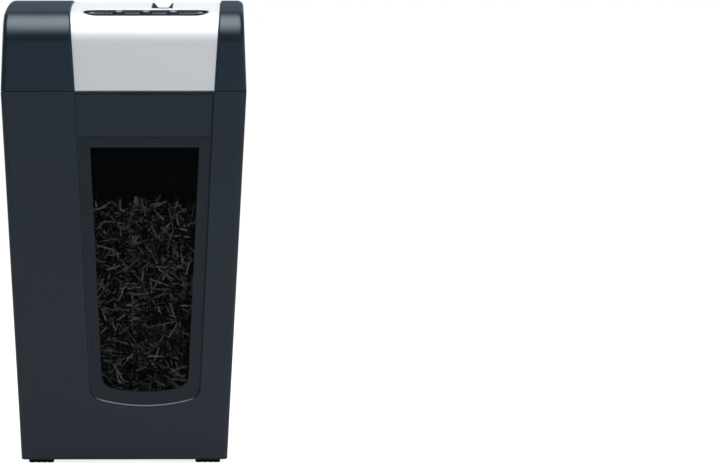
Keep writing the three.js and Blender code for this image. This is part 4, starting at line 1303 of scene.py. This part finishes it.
class SHREDDER_OT_feed_throat(bpy.types.Operator):
    """Model the black funnel that guides the paper down to the cutters"""

    bl_idname = "shredder.feed_throat"
    bl_label = "Feed Throat"

    def execute(self, context):
        case, band, throat = sizes("case", "band", "throat")
        funnel = throat_form(case, throat)
        funnel.name = "throat_funnel"
        carve(funnel, head_core(case, band.sink), operation="INTERSECT")
        crown_z = case.top_z - band.sink
        slot, mouth = throat.slot_half, throat.mouth_half
        depth = (mouth - slot) / throat.slope
        above = 5 * MM
        rim = mouth + above * throat.slope
        low, high = crown_z - depth, crown_z + above
        profile = [
            (throat.x + slot, low),
            (throat.x + rim, high),
            (throat.x - rim, high),
            (throat.x - slot, low),
        ]
        end = throat.half_length - throat.end_wall
        sweep = 2 * math.asin(end / case.crown_radius)
        mouth_form = self.swept(profile, case.top_z - case.crown_radius, sweep)
        under_z, pocket_z = throat.low_z - 0.01, 0.385
        slit = block("slit", (throat.x - slot, -end, under_z), (throat.x + slot, end, crown_z - depth / 2))
        inner, outer = slot + throat.rib, throat.half_width - throat.rib
        pockets = [
            block("pocket", (throat.x + a, -end, under_z), (throat.x + b, end, pocket_z))
            for a, b in ((-outer, -inner), (inner, outer))
        ]
        carve(funnel, mouth_form, slit, *pockets)
        soften(funnel, 0.35 * MM, segments=3)
        settle(funnel, "head", "insert_plastic", insert_plastic(), "throat_guide")
        return {"FINISHED"}

    def swept(self, profile, centre_z, sweep, steps=32):
        """A section swept along the crown's own arc, half the sweep to each end."""
        form = trace("mouth", "Y", 0, *profile)
        with editing(form):
            bpy.ops.mesh.delete(type="ONLY_FACE")
        centre = Matrix.Translation((0, 0, centre_z))
        form.data.transform(centre @ Matrix.Rotation(sweep / 2, 4, "X") @ centre.inverted())
        with editing(form):
            bpy.ops.mesh.spin(steps=steps, angle=sweep, center=(0, 0, centre_z), axis=(1, 0, 0))
            everything()
            bpy.ops.mesh.fill_holes(sides=0)
            face_out()
        return form


# ------------------------------------------------------------------ the bin
class SHREDDER_OT_bin_casing(bpy.types.Operator):
    """Model the tapered bin, with its sunk sides, its front recess and the opening of its window"""

    bl_idname = "shredder.bin_casing"
    bl_label = "Bin Casing"

    def execute(self, context):
        case, band, trough = sizes("case", "band", "trough")
        top_z = case.seam_z - case.seam_gap / 2
        shell = bin_form(case, 0, case.low_z, top_z)
        shell.name = "bin_casing"
        foot = level(case.low_z, -1)
        round_edges(shell, trough.pinch, lambda edge: lies_on(edge, foot), segments=4)
        carve(shell, self.hollow(case, band, trough))
        for side in (-1, 1):
            carve(
                shell,
                bin_trough(case, trough, side, -0.01, band.rim_z, trough.depth, trough.deepening),
                bin_trough(case, trough, side, band.rim_z - 0.1 * MM, top_z + 0.01, trough.rim_depth, 0),
            )
        rim_cut = hanging_arch(case, band, 0, band.recess_corner, case.seam_z + 5 * MM, band.rim_depth)
        trim(rim_cut, level(band.rim_z - MM, -1))
        seat = band.recess_depth + band.pane_thickness + case.gap
        pane_inset, pane_top_z = band.pane_inset - case.gap, band.pane_top_z + case.gap
        carve(
            shell,
            hanging_arch(case, band, 0, band.recess_corner, band.rim_z, band.recess_depth, band.recess_wall),
            rim_cut,
            hanging_arch(case, band, pane_inset, band.pane_corner, pane_top_z, seat),
            clear_window(case, band, 20 * MM),
        )
        self.fittings(shell, case, context.scene.shredder_feet)
        soften(shell, 0.4 * MM)
        settle(shell, "bin", "case_plastic", case_plastic(), "bin_shell")
        return {"FINISHED"}

    def fittings(self, shell, case, feet):
        """Holes for the pegs of the feet, and the rib that holds the interlock pin up."""
        radius, top_z = feet.peg_radius + 2 * case.gap, 7 * MM
        for x in (-feet.x, feet.x):
            for y in (-feet.y, feet.y):
                profile = [(0, 0), (radius, 0), (radius, top_z), (0, top_z)]
                carve(shell, turned("peg_hole", profile, (x, y, 0), steps=20))
        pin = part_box("interlock_pin")
        x, y = (pin[0].x + pin[1].x) / 2, (pin[0].y + pin[1].y) / 2 - MIDDLE_Y
        low = (x - 4 * MM, y - 8 * MM, 0.288)
        high = (x + 4 * MM, case.half_depth - 2 * MM, pin[0].z - case.gap)
        carve(shell, block("striker", low, high), operation="UNION")

    def hollow(self, case, band, trough):
        """The space inside, with room left for the walls behind every recess, and the rim's opening."""
        inside = bin_form(case, case.wall, case.low_z + case.wall, band.rim_z - 1.4 * MM)
        depths = (trough.depth, trough.deepening, case.wall)
        for side in (-1, 1):
            carve(inside, bin_trough(case, trough, side, -0.02, 0.34, *depths))
        backing = band.recess_depth + band.pane_thickness + case.wall
        carve(inside, hanging_arch(case, band, -4 * MM, 14 * MM, case.seam_z + 0.02, backing))
        half_x, half_y = 0.0885, 0.171
        low, high = (-half_x, -half_y, band.rim_z - 2 * MM), (half_x, half_y, case.seam_z + 5 * MM)
        rim = block("rim", low, high)
        return carve(inside, rim, operation="UNION")


class SHREDDER_OT_window(bpy.types.Operator):
    """Model the smoked window pane and the grained border round it"""

    bl_idname = "shredder.window"
    bl_label = "Window"

    def execute(self, context):
        case, band = sizes("case", "band")
        front, back = band.recess_depth, band.recess_depth + band.pane_thickness
        place = (band.pane_inset, band.pane_corner, band.pane_top_z)
        pane = hanging_arch(case, band, *place, back, outside=-front)
        pane.name = "window"
        soften(pane, 0.3 * MM, segments=3)
        settle(pane, "bin", "smoked_window", smoked_window(), "window_pane")
        lip = 0.4 * MM
        inset = band.recess_wall + 0.6 * MM
        corner, top_z = band.recess_corner - inset, band.pane_top_z + 0.2 * MM
        border = hanging_arch(case, band, inset, corner, top_z, front, outside=lip - front)
        border.name = "window_border"
        carve(border, clear_window(case, band, back))
        soften(border, 0.15 * MM)
        settle(border, "bin", "smoked_window", border_plastic())
        return {"FINISHED"}


class SHREDDER_OT_feet(bpy.types.Operator):
    """Model the four push-in rubber feet"""

    bl_idname = "shredder.feet"
    bl_label = "Feet"

    def execute(self, context):
        case, feet = sizes("case", "feet")
        top_z = case.low_z - case.gap
        pad = prism("foot", "Z", 0, top_z, *rounded_rectangle(0, 0, feet.half, feet.half, feet.corner))
        floor = level(0, -1)
        round_edges(pad, 0.8 * MM, lambda edge: lies_on(edge, floor), segments=3)
        for x in (-5 * MM, 0, 5 * MM):
            carve(pad, block("groove", (x - 0.5 * MM, -0.02, -MM), (x + 0.5 * MM, 0.02, 0.4 * MM)))
        radius, peg_z = feet.peg_radius, feet.peg_top_z
        snap = [(radius, peg_z - 2.5 * MM), (radius + 0.5 * MM, peg_z - 2 * MM), (radius - 0.6 * MM, peg_z)]
        peg = turned("peg", [(0, top_z - MM), (radius, top_z - MM), *snap, (0, peg_z)], steps=24)
        carve(pad, peg, operation="UNION")
        soften(pad, 0.15 * MM)
        for end, y in (("front", -feet.y), ("rear", feet.y)):
            for side, x in (("left", -feet.x), ("right", feet.x)):
                foot = copied(pad, (x, y, 0), f"rubber_foot_{end}_{side}")
                settle(foot, "bin", "foot_rubber", rubber(), f"foot_{end}_{side}")
        bpy.data.objects.remove(pad)
        return {"FINISHED"}


class SHREDDER_OT_shreds(bpy.types.Operator):
    """Fill the bin with shredded paper"""

    bl_idname = "shredder.shreds"
    bl_label = "Shredded Paper"

    KINDS = 8
    SEGMENTS = 5
    PAPER = 0.12 * MM
    LOW_Z = 0.052
    SPREAD_X, SPREAD_Y = 0.081, 0.158
    CORE_DEPTH = 12 * MM
    BEHIND_PANE = 5.1 * MM

    def execute(self, context):
        case, band, shreds = sizes("case", "band", "shreds")
        chance = random.Random(41)
        kinds = [self.strip(shreds, chance) for _ in range(self.KINDS)]
        self.packed(case, shreds)
        self.scatter("shreds_at_window", kinds, self.window_places(case, band, shreds, chance), chance)
        self.scatter("shreds_on_top", kinds, self.top_places(shreds, chance), chance)
        for kind in kinds:
            bpy.data.objects.remove(kind)
        return {"FINISHED"}

    def strip(self, shreds, chance):
        """One paper strip, run out from a short piece and bent a little at each step."""
        step = shreds.length / self.SEGMENTS
        size = Vector((step, shreds.width, self.PAPER))
        piece = block("strip", -size / 2, size / 2)
        curl, twist = chance.uniform(-0.45, 0.45), chance.uniform(-0.3, 0.3)
        with editing(piece):
            pick("FACE", lambda face: face.normal.x > 0.9)
            for _ in range(self.SEGMENTS - 1):
                form = bmesh.from_edit_mesh(piece.data)
                form.normal_update()
                end = next(face for face in form.faces if face.select)
                bpy.ops.mesh.extrude_region_move(TRANSFORM_OT_translate={"value": end.normal * step})
                form = bmesh.from_edit_mesh(piece.data)
                middle = next(face for face in form.faces if face.select).calc_center_median()
                bpy.ops.transform.rotate(value=curl, orient_axis="Y", center_override=middle)
                bpy.ops.transform.rotate(value=twist, orient_axis="X", center_override=middle)
                curl += chance.uniform(-0.3, 0.3)
        middle = sum((v.co for v in piece.data.vertices), Vector()) / len(piece.data.vertices)
        piece.data.transform(Matrix.Translation(-middle))
        return piece

    def heap_top(self, shreds, x, y):
        """The heap's height over a place."""
        humps = noise.noise(Vector((x, y, 0.2)) * 28) + 0.5 * noise.noise(Vector((x, y, 0.7)) * 70)
        return shreds.heap_z + shreds.unevenness * humps

    def packed(self, case, shreds):
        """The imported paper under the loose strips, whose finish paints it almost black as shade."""
        bpy.ops.object.select_all(action="DESELECT")
        place = (0, 0, shreds.heap_z)
        bpy.ops.mesh.primitive_grid_add(x_subdivisions=36, y_subdivisions=72, size=0.4, location=place)
        core = named("shreds_packed")
        depth = shreds.heap_z - case.low_z - case.wall - MM
        with editing(core):
            bpy.ops.mesh.extrude_region_move(TRANSFORM_OT_translate={"value": (0, 0, -depth)})
            face_out()
        for vertex in core.data.vertices:
            if vertex.co.z > shreds.heap_z - MM:
                vertex.co.z = self.heap_top(shreds, vertex.co.x, vertex.co.y) - self.CORE_DEPTH
        sides = [side_plane(case, side, -case.bin_side_lean, 15 * MM) for side in (-1, 1)]
        ends = [end_plane(case, end, -case.bin_end_lean, 20 * MM) for end in (-1, 1)]
        trim(core, *sides, *ends)
        settle(shaded(core), "bin", None, packed_paper())

    def window_places(self, case, band, shreds, chance):
        """Places close behind the window, up to the top of the heap, and how far forward a strip may lie."""
        for _ in range(shreds.window_strips):
            z = chance.uniform(self.LOW_Z, shreds.heap_z + 1.6 * shreds.unevenness)
            half = band.half_width - (case.seam_z - z) * band.taper - band.window_inset + 3 * MM
            x = band.x + chance.uniform(-half, half)
            front = -case.half_depth + (case.seam_z - z) * case.bin_end_lean
            y = front + chance.uniform(6, 20) * MM
            if z < self.heap_top(shreds, x, y):
                yield Vector((x, y, z)), chance.gauss(math.pi / 2, 0.5)

    def top_places(self, shreds, chance):
        """Places over the whole heap."""
        for _ in range(shreds.top_strips):
            x, y = [chance.uniform(-spread, spread) for spread in (self.SPREAD_X, self.SPREAD_Y)]
            z = self.heap_top(shreds, x, y) - chance.uniform(4, 12) * MM
            yield Vector((x, y, z)), chance.gauss(0, 0.5)

    def scatter(self, name, kinds, places, chance):
        """Lays copies of the strips at the places, tipped and turned, each with its own painted level of
        light and shade.
        """
        case = bpy.context.scene.shredder_case
        points, faces, shades = [], [], []
        for place, tip in places:
            kind = chance.choice(kinds).data
            turn = Matrix.Rotation(tip, 3, "X") @ Matrix.Rotation(chance.uniform(0, math.tau), 3, "Z")
            turn = turn @ Matrix.Rotation(chance.gauss(0, 0.35), 3, "Y")
            strip = [place + turn @ vertex.co for vertex in kind.vertices]
            lowest = min(p.y + case.half_depth - (case.seam_z - p.z) * case.bin_end_lean for p in strip)
            push = Vector((0, max(0, self.BEHIND_PANE - lowest), 0))
            start = len(points)
            points += [point + push for point in strip]
            faces += [[start + i for i in face.vertices] for face in kind.polygons]
            # painted light and shade for each strip: nearly half are painted black as if in shade, the rest
            # are lit at random levels
            shades += [max(0.0, chance.random() * 1.8 - 0.8)] * len(strip)
        mesh = bpy.data.meshes.new(name)
        mesh.from_pydata(points, [], faces)
        mesh.attributes.new("shade", "FLOAT", "POINT").data.foreach_set("value", shades)
        piece = bpy.data.objects.new(name, mesh)
        bpy.context.collection.objects.link(piece)
        settle(piece, "bin", None, paper())


# ------------------------------------------------------------------ the controls
# the dished top of a button: share of its radius, and height
DISH = ((0.9, 1.2), (0.86, 0.95), (0.66, -0.3), (0.58, -0.5), (0.4, -0.6), (0.2, -0.65), (0, -0.65))


def panel_place(case, controls, x, depth):
    """The frame of a place at a depth below the panel: X is sideways and Z is the panel's own normal."""
    tilt = math.asin(-controls.button_y / case.crown_radius)
    z = case.top_z - case.crown_radius + (case.crown_radius - controls.sink - depth) * math.cos(tilt)
    return Matrix.Translation((x, controls.button_y, z)) @ Matrix.Rotation(tilt, 4, "X")


def on_panel(piece, x):
    """Moves a piece that was modelled about the origin to its place on the panel."""
    case, controls = sizes("case", "controls")
    piece.data.transform(panel_place(case, controls, x, controls.button_drop))
    return piece


class SHREDDER_OT_control_panel(bpy.types.Operator):
    """Model the gloss panel and its status lights"""

    bl_idname = "shredder.control_panel"
    bl_label = "Control Panel"

    def execute(self, context):
        case, band, controls = sizes("case", "band", "controls")
        sheet = panel_form(case, controls)
        sheet.name = "gloss_panel"
        carve(sheet, head_core(case, controls.sink), operation="INTERSECT")
        carve(sheet, head_core(case, band.sink + band.thickness, reach=0.21))
        radii = (controls.lens_radius, *[controls.button_radius] * 3, controls.lens_radius)
        places = [controls.x + i * controls.spacing for i in (-2, -1, 0, 1, 2)]
        for x, radius in zip(places, radii):
            wide = radius + controls.clearance
            hole = turned("hole", [(0, -6 * MM), (wide, -6 * MM), (wide, 4 * MM), (0, 4 * MM)])
            carve(sheet, on_panel(hole, x))
        soften(carve(sheet, self.pocket(case, controls)), 0.3 * MM, segments=3)
        settle(sheet, "head", "panel_gloss", panel_gloss(), "control_panel")
        self.lenses(controls, {"left": places[0], "right": places[4]})
        return {"FINISHED"}

    def pocket(self, case, controls):
        """The panel's sunk face, deepest at the rear."""
        frame = panel_place(case, controls, controls.x, controls.pocket)
        out = frame.to_3x3() @ Vector((0, -controls.pocket_tilt, -1))
        return trim(panel_form(case, controls, -controls.rim), plane(frame.translation, out))

    def lenses(self, controls, places):
        """A light guide on a thin leg, with a low dome."""
        radius, leg, foot, step = controls.lens_radius, 1.6 * MM, -8 * MM, -2.6 * MM
        brim, dome = 0.1 * MM, 0.4 * MM
        profile = [(0, foot), (leg, foot), (leg, step), (radius, step), (radius, brim)]
        turns = (0.35, 0.7, 1.05, 1.4)
        profile += [(radius * math.cos(turn), brim + dome * math.sin(turn)) for turn in turns]
        for side, x in places.items():
            lens = on_panel(turned(f"status_light_{side}", [*profile, (0, brim + dome)]), x)
            settle(shaded(lens), "head", "lens_clear", lens_plastic(), f"status_lens_{side}")


class SHREDDER_OT_buttons(bpy.types.Operator):
    """Model the three push buttons and their raised symbols"""

    bl_idname = "shredder.buttons"
    bl_label = "Buttons"

    def execute(self, context):
        controls = context.scene.shredder_controls
        symbols = {"reverse": self.triangle(-1), "power": self.power(), "forward": self.triangle(1)}
        for i, (name, symbol) in enumerate(symbols.items()):
            x = controls.x + (i - 1) * controls.spacing
            cap = on_panel(self.cap(f"push_button_{name}", controls.button_radius), x)
            settle(shaded(cap), f"button_{name}", "button_plastic", button_plastic(), f"button_{name}")
            symbol.name = f"symbol_{name}"
            settle(on_panel(soften(symbol, 0.05 * MM), x), f"button_{name}", "button_plastic", symbol_ink())
        return {"FINISHED"}

    def cap(self, name, radius):
        """A dished cap on a stem, with a collar that stops it behind the panel."""
        thin, foot, under, over = 2.2 * MM, -10.5 * MM, -5 * MM, -3.6 * MM
        wide, edge = radius + 1.2 * MM, 0.8 * MM
        stem = [(0, foot), (thin, foot), (thin, under)]
        collar = [(wide, under), (wide, over), (radius, over)]
        brim = [(radius, edge), ((radius - 0.5 * MM, edge), math.pi / 2, 5)]
        dish = [(radius * share, height * MM) for share, height in DISH]
        return turned(name, [*stem, *collar, *brim, *dish], steps=64)

    def triangle(self, side):
        """A small arrow head that points sideways."""
        points = [(side * 1.8 * MM, 0), (-side * 1.1 * MM, 1.7 * MM), (-side * 1.1 * MM, -1.7 * MM)]
        return prism("arrow", "Z", -0.9 * MM, -0.4 * MM, *points)

    def power(self):
        """An open ring with an upright bar."""
        inner, outer, low, top = 1.5 * MM, 1.95 * MM, -0.9 * MM, -0.4 * MM
        ring = turned("ring", [(inner, low), (outer, low), (outer, top), (inner, top)], steps=40)
        carve(ring, block("notch", (-0.7 * MM, 0, -MM), (0.7 * MM, 3 * MM, MM)))
        bar = block("bar", (-0.24 * MM, 0.1 * MM, low), (0.24 * MM, 2.3 * MM, top))
        return joined([ring, bar])


# ------------------------------------------------------------------ the rear
class SHREDDER_OT_rear_fittings(bpy.types.Operator):
    """Model the rocker switch and the cord gland in the rear face"""

    bl_idname = "shredder.rear_fittings"
    bl_label = "Rear Fittings"

    def execute(self, context):
        case, rear = sizes("case", "rear")
        face_y = case.half_depth - (rear.z - case.seam_z) * case.head_end_lean
        self.bezel(rear, face_y)
        self.rocker(case, rear, face_y)
        self.gland(rear, face_y)
        return {"FINISHED"}

    def bezel(self, rear, face_y):
        x, z = rear.switch_x, rear.z
        rim = rounded_rectangle(x, z, rear.rim_half_x, rear.rim_half_z, 1.5 * MM, steps=5)
        bezel = prism("switch_frame", "Y", face_y + 0.6 * MM, face_y + rear.proud, *rim)
        half_x, half_z = 8.7 * MM, 5.7 * MM
        body_low = (x - half_x, face_y - 15 * MM, z - half_z)
        body_high = (x + half_x, face_y + 1.2 * MM, z + half_z)
        carve(bezel, block("body", body_low, body_high), operation="UNION")
        well_low = (x - rear.well_half_x, face_y - 7 * MM, z - rear.well_half_z)
        well_high = (x + rear.well_half_x, face_y + 6 * MM, z + rear.well_half_z)
        carve(bezel, block("well", well_low, well_high))
        soften(bezel, 0.4 * MM, segments=3)
        settle(bezel, "head", "silver_cover", silver_paint(), "switch_bezel")

    def rocker(self, case, rear, face_y):
        """Two lobes on an upright pivot, tipped to the first position, with a bar and a ring as its marks."""
        lobe, tilt = 7 * MM, math.radians(9)
        pivot_y = face_y - 1.5 * MM
        tip = case.half_depth + rear.rocker_proud - pivot_y
        face = (tip - lobe * math.sin(tilt)) / math.cos(tilt)
        dip, under, keel, half = 1.2 * MM, -1.5 * MM, -3.4 * MM, 4.6 * MM
        outline = [(-lobe, under), (0, keel), (lobe, under), (lobe, face), (0, face - dip), (-lobe, face)]
        rocker = prism("rocker", "Z", -half, half, *outline)
        soften(rocker, 0.4 * MM, segments=3, angle=50)
        slant = math.atan2(dip, lobe)
        low, high, inner, outer = -0.12 * MM, 0.06 * MM, 1.1 * MM, 1.7 * MM
        bar = block("mark_on", (-0.35 * MM, low, -1.6 * MM), (0.35 * MM, high, 1.6 * MM))
        ring_profile = [(inner, low), (outer, low), (outer, high), (inner, high)]
        ring = turned("mark_off", ring_profile, axis=(0, 1, 0), steps=40)
        for mark, side in ((bar, 1), (ring, -1)):
            soften(mark, 0.03 * MM)
            place = Matrix.Translation((side * lobe * 0.52, face - dip * 0.48, 0))
            mark.data.transform(place @ Matrix.Rotation(side * slant, 4, "Z"))
        pivot = Matrix.Translation((rear.switch_x, pivot_y, rear.z)) @ Matrix.Rotation(-tilt, 4, "Z")
        for piece, finish in ((rocker, panel_gloss()), (bar, symbol_ink()), (ring, symbol_ink())):
            piece.data.transform(pivot)
            replaced = ["switch_rocker"] if piece is rocker else []
            settle(piece, "rocker", "panel_gloss", finish, *replaced)

    def gland(self, rear, face_y):
        """A ribbed bush with a rounded mouth; the supply cord would leave through it."""
        bore, neck, flange, inner = rear.gland_bore, 6 * MM, 8.5 * MM, -9 * MM
        seat, brim, mouth, lip = 0.9 * MM, 1.6 * MM, rear.gland_bore + 1.2 * MM, 2.6 * MM
        profile = [(bore, inner), (neck, inner), (neck, seat), (flange, seat), (flange, brim)]
        profile += [((7.9 * MM, brim), math.pi / 2, 5), (mouth, lip), ((mouth, 1.4 * MM), math.pi / 2, 6)]
        gland = turned("gland", profile, (rear.gland_x, face_y, rear.z), (0, 1, 0), steps=56)
        settle(shaded(gland), "head", "insert_plastic", insert_plastic(), "cord_gland")


# ------------------------------------------------------------------ the inner works
def refined(node, radius):
    """A copy of a solid with its loose triangles merged, its edges broken and its round faces smooth."""
    piece = bpy.data.objects.new(f"finished_{node}", frame["nodes"][node].data.copy())
    bpy.context.collection.objects.link(piece)
    return soften(piece, radius, clamp=True)


class SHREDDER_OT_inner_works(bpy.types.Operator):
    """Break the edges of the parts inside the head, smooth their round faces and finish them"""

    bl_idname = "shredder.inner_works"
    bl_label = "Inner Works"

    def execute(self, context):
        by_slot = {
            "foot_rubber": (rubber, 0.4),
            "insert_plastic": (insert_plastic, 0.4),
            "panel_gloss": (insert_plastic, 0.3),
            "circuit_board": (power_board_finish, 0.2),
            "plate_steel": (zinc_plate, 0.3),
            "hard_steel": (turned_steel, 0.2),
            "bronze": (bush_bronze, 0.2),
            "gear_steel": (gear_steel, 0.12),
            "gear_nylon": (gear_nylon, 0.12),
            "motor_steel": (motor_can_steel, 0.5),
            "copper": (armature, 0.1),
        }
        by_node = {
            "control_board": (control_board_finish, 0.2),
            "interlock_pin": (white_plastic, 0.3),
            "cutter_left": (cutter_steel, 0.1),
            "cutter_right": (cutter_steel, 0.1),
        }
        record = frame["record"]
        bodies = {node: body for body, nodes in record["behaviour"]["bodies"].items() for node in nodes}
        for part in record["subparts"]:
            node, slot = part["node"], part["material_slot"]
            if not frame["nodes"][node].hide_render:
                finish, radius = by_node.get(node) or by_slot[slot]
                piece = refined(node, radius * MM)
                if node.startswith("base_screw"):
                    self.cross(piece, *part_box(node))
                settle(piece, bodies[node], slot, finish(), node, shift=False)
        return {"FINISHED"}

    def cross(self, screw, low, high):
        """Cuts a cross for the driver into the underside of a screw's head."""
        x, y, top_z = (low.x + high.x) / 2, (low.y + high.y) / 2, low.z + 1.3 * MM
        for half_x, half_y in ((2 * MM, 0.45 * MM), (0.45 * MM, 2 * MM)):
            carve(screw, block("slot", (x - half_x, y - half_y, low.z - MM), (x + half_x, y + half_y, top_z)))


# ------------------------------------------------------------------ the stage
class SHREDDER_OT_stage(bpy.types.Operator):
    """Set up the camera, the lamps, the floor and the world"""

    bl_idname = "shredder.stage"
    bl_label = "Stage"

    LENS = 307.6
    EYE = (0.095, -5.482, 0.400)
    AIM = (0.2036, -0.182, 0.1997)
    LAMP_SIZE = 1.2
    LAMP_AIM = (0, 0, 0.2)
    # place in metres and power in watts
    LAMPS = {
        "key": ((1.3, -1.9, 1.5), 40),
        "fill": ((-2.0, -0.6, 1.4), 20),
        "overhead": ((0.1, -0.2, 2.4), 45),
        "back": ((0.4, 2.4, 1.8), 20),
    }
    # tints of the reflected studio, low down and overhead
    COOL, SOFT = (0.8, 0.96, 1.22, 1), (0.92, 0.98, 1.04, 1)

    def execute(self, context):
        scene = context.scene
        scene.view_settings.view_transform = "Standard"
        self.camera(scene)
        self.world(scene)
        self.floor()
        for name, (place, power) in self.LAMPS.items():
            self.lamp(name, place, power)
        return {"FINISHED"}

    def camera(self, scene):
        camera = bpy.data.objects.new("camera", bpy.data.cameras.new("camera"))
        scene.collection.objects.link(camera)
        camera.data.lens = self.LENS
        camera.location = self.EYE
        self.turn(camera, self.AIM)
        scene.camera = camera

    def turn(self, thing, aim):
        """Turns a camera or a lamp to look at a place."""
        thing.rotation_euler = (Vector(aim) - thing.location).to_track_quat("-Z", "Y").to_euler()

    def world(self, scene):
        """White behind everything; in reflections a studio with a bright ceiling light over a darker band."""
        world = bpy.data.worlds.new("studio")
        world.use_nodes = True
        scene.world = world
        maker = Maker(world.node_tree)
        camera_ray, glossy, through = maker.rays()
        seen = camera_ray.math("MAXIMUM", through)
        glossy = glossy * (1 - seen)
        x, y, z = maker.parts(maker.add("ShaderNodeTexCoord", output="Generated"))
        # the ceiling light, dimmer to the rear; two low screens and a backdrop behind the object; and a
        # horizon that is bright to the front and the right
        ceiling = (z * 0.99 - y * 0.12).step(0.7, 1.0) * (5.8 - y.step(-0.15, 0.45) * 2.7)
        sweep = (1 - z.step(0.1, 0.4)) * y.step(0.1, 0.5) * abs(x).step(0.35, 0.7) * 0.9
        backdrop = y.step(0.5, 0.9) * (0.2 - y.step(0.9, 1.0) * 0.08)
        around = (1 - y.step(-0.2, 0.5) * 0.85) * (0.16 + x.step(-0.8, 0.2) * 0.84)
        horizon = (1 - z.step(0.03, 0.2)) * around * 1.2
        rest = 0.3 + z.step(-0.2, 1.0) * 0.5
        mirrored = ceiling + horizon + sweep + backdrop + 0.02
        strength = seen + glossy * mirrored + (1 - seen) * (1 - glossy) * rest
        colour = maker.blend(glossy, (1, 1, 1), maker.blend(z.step(0.3, 0.8), self.COOL, self.SOFT))
        sockets = world.node_tree.nodes["Background"].inputs
        maker.tree.links.new(colour.socket, sockets["Color"])
        maker.tree.links.new(strength.socket, sockets["Strength"])

    def floor(self):
        bpy.ops.object.select_all(action="DESELECT")
        bpy.ops.mesh.primitive_plane_add(size=120)
        floor = named("floor")
        finish = Finish("floor", base_color=(0.27, 0.27, 0.28, 1), roughness=0.8, specular_ior_level=0.0)
        seen, glossy, through = finish.rays()
        finish.set("Emission Color", (1, 1, 1, 1))
        finish.set("Emission Strength", seen.math("MAXIMUM", through) * 0.86 + glossy * 0.05)
        floor.data.materials.append(finish.material)
        floor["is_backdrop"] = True

    def lamp(self, name, place, power):
        bpy.ops.object.light_add(type="AREA", location=place)
        lamp = bpy.context.object
        lamp.name = name
        lamp.data.size = self.LAMP_SIZE
        lamp.data.energy = power
        lamp.visible_glossy = False
        self.turn(lamp, self.LAMP_AIM)


GROUPS = {
    "shredder_case": CaseSizes,
    "shredder_band": BandSizes,
    "shredder_cheek": CheekSizes,
    "shredder_trough": TroughSizes,
    "shredder_throat": ThroatSizes,
    "shredder_controls": ControlSizes,
    "shredder_rear": RearSizes,
    "shredder_feet": FootSizes,
    "shredder_shreds": ShredSizes,
    "shredder_colours": FinishColours,
}
STEPS = (
    SHREDDER_OT_stage,
    SHREDDER_OT_head_casing,
    SHREDDER_OT_silver_cover,
    SHREDDER_OT_feed_throat,
    SHREDDER_OT_control_panel,
    SHREDDER_OT_buttons,
    SHREDDER_OT_rear_fittings,
    SHREDDER_OT_bin_casing,
    SHREDDER_OT_window,
    SHREDDER_OT_shreds,
    SHREDDER_OT_feet,
    SHREDDER_OT_inner_works,
)


class SHREDDER_PT_builder(bpy.types.Panel):
    """Lists the steps and the sizes"""

    bl_idname = "SHREDDER_PT_builder"
    bl_label = "Paper Shredder"
    bl_space_type = "VIEW_3D"
    bl_region_type = "UI"
    bl_category = "Shredder"

    def draw(self, context):
        for step in STEPS:
            self.layout.operator(step.bl_idname)
        for name in GROUPS:
            box = self.layout.box()
            group = getattr(context.scene, name)
            for size in group.bl_rna.properties.keys():
                if size not in ("rna_type", "name"):
                    box.prop(group, size)


def register():
    for cls in (*GROUPS.values(), *STEPS, SHREDDER_PT_builder):
        bpy.utils.register_class(cls)
    for name, group in GROUPS.items():
        setattr(bpy.types.Scene, name, PointerProperty(type=group))


def unregister():
    for name in GROUPS:
        delattr(bpy.types.Scene, name)
    for cls in reversed((*GROUPS.values(), *STEPS, SHREDDER_PT_builder)):
        bpy.utils.unregister_class(cls)


def main():
    register()
    bpy.ops.shredder.stage()
    bpy.ops.shredder.head_casing()
    bpy.ops.shredder.silver_cover()
    bpy.ops.shredder.feed_throat()
    bpy.ops.shredder.control_panel()
    bpy.ops.shredder.buttons()
    bpy.ops.shredder.rear_fittings()
    bpy.ops.shredder.bin_casing()
    bpy.ops.shredder.window()
    bpy.ops.shredder.shreds()
    bpy.ops.shredder.feet()
    bpy.ops.shredder.inner_works()
    boxes = {"cad": CAD_BOX, "visual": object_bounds()}
    {name: [list(corner) for corner in box] for name, box in boxes.items()}


if __name__ == "__main__":
    main()
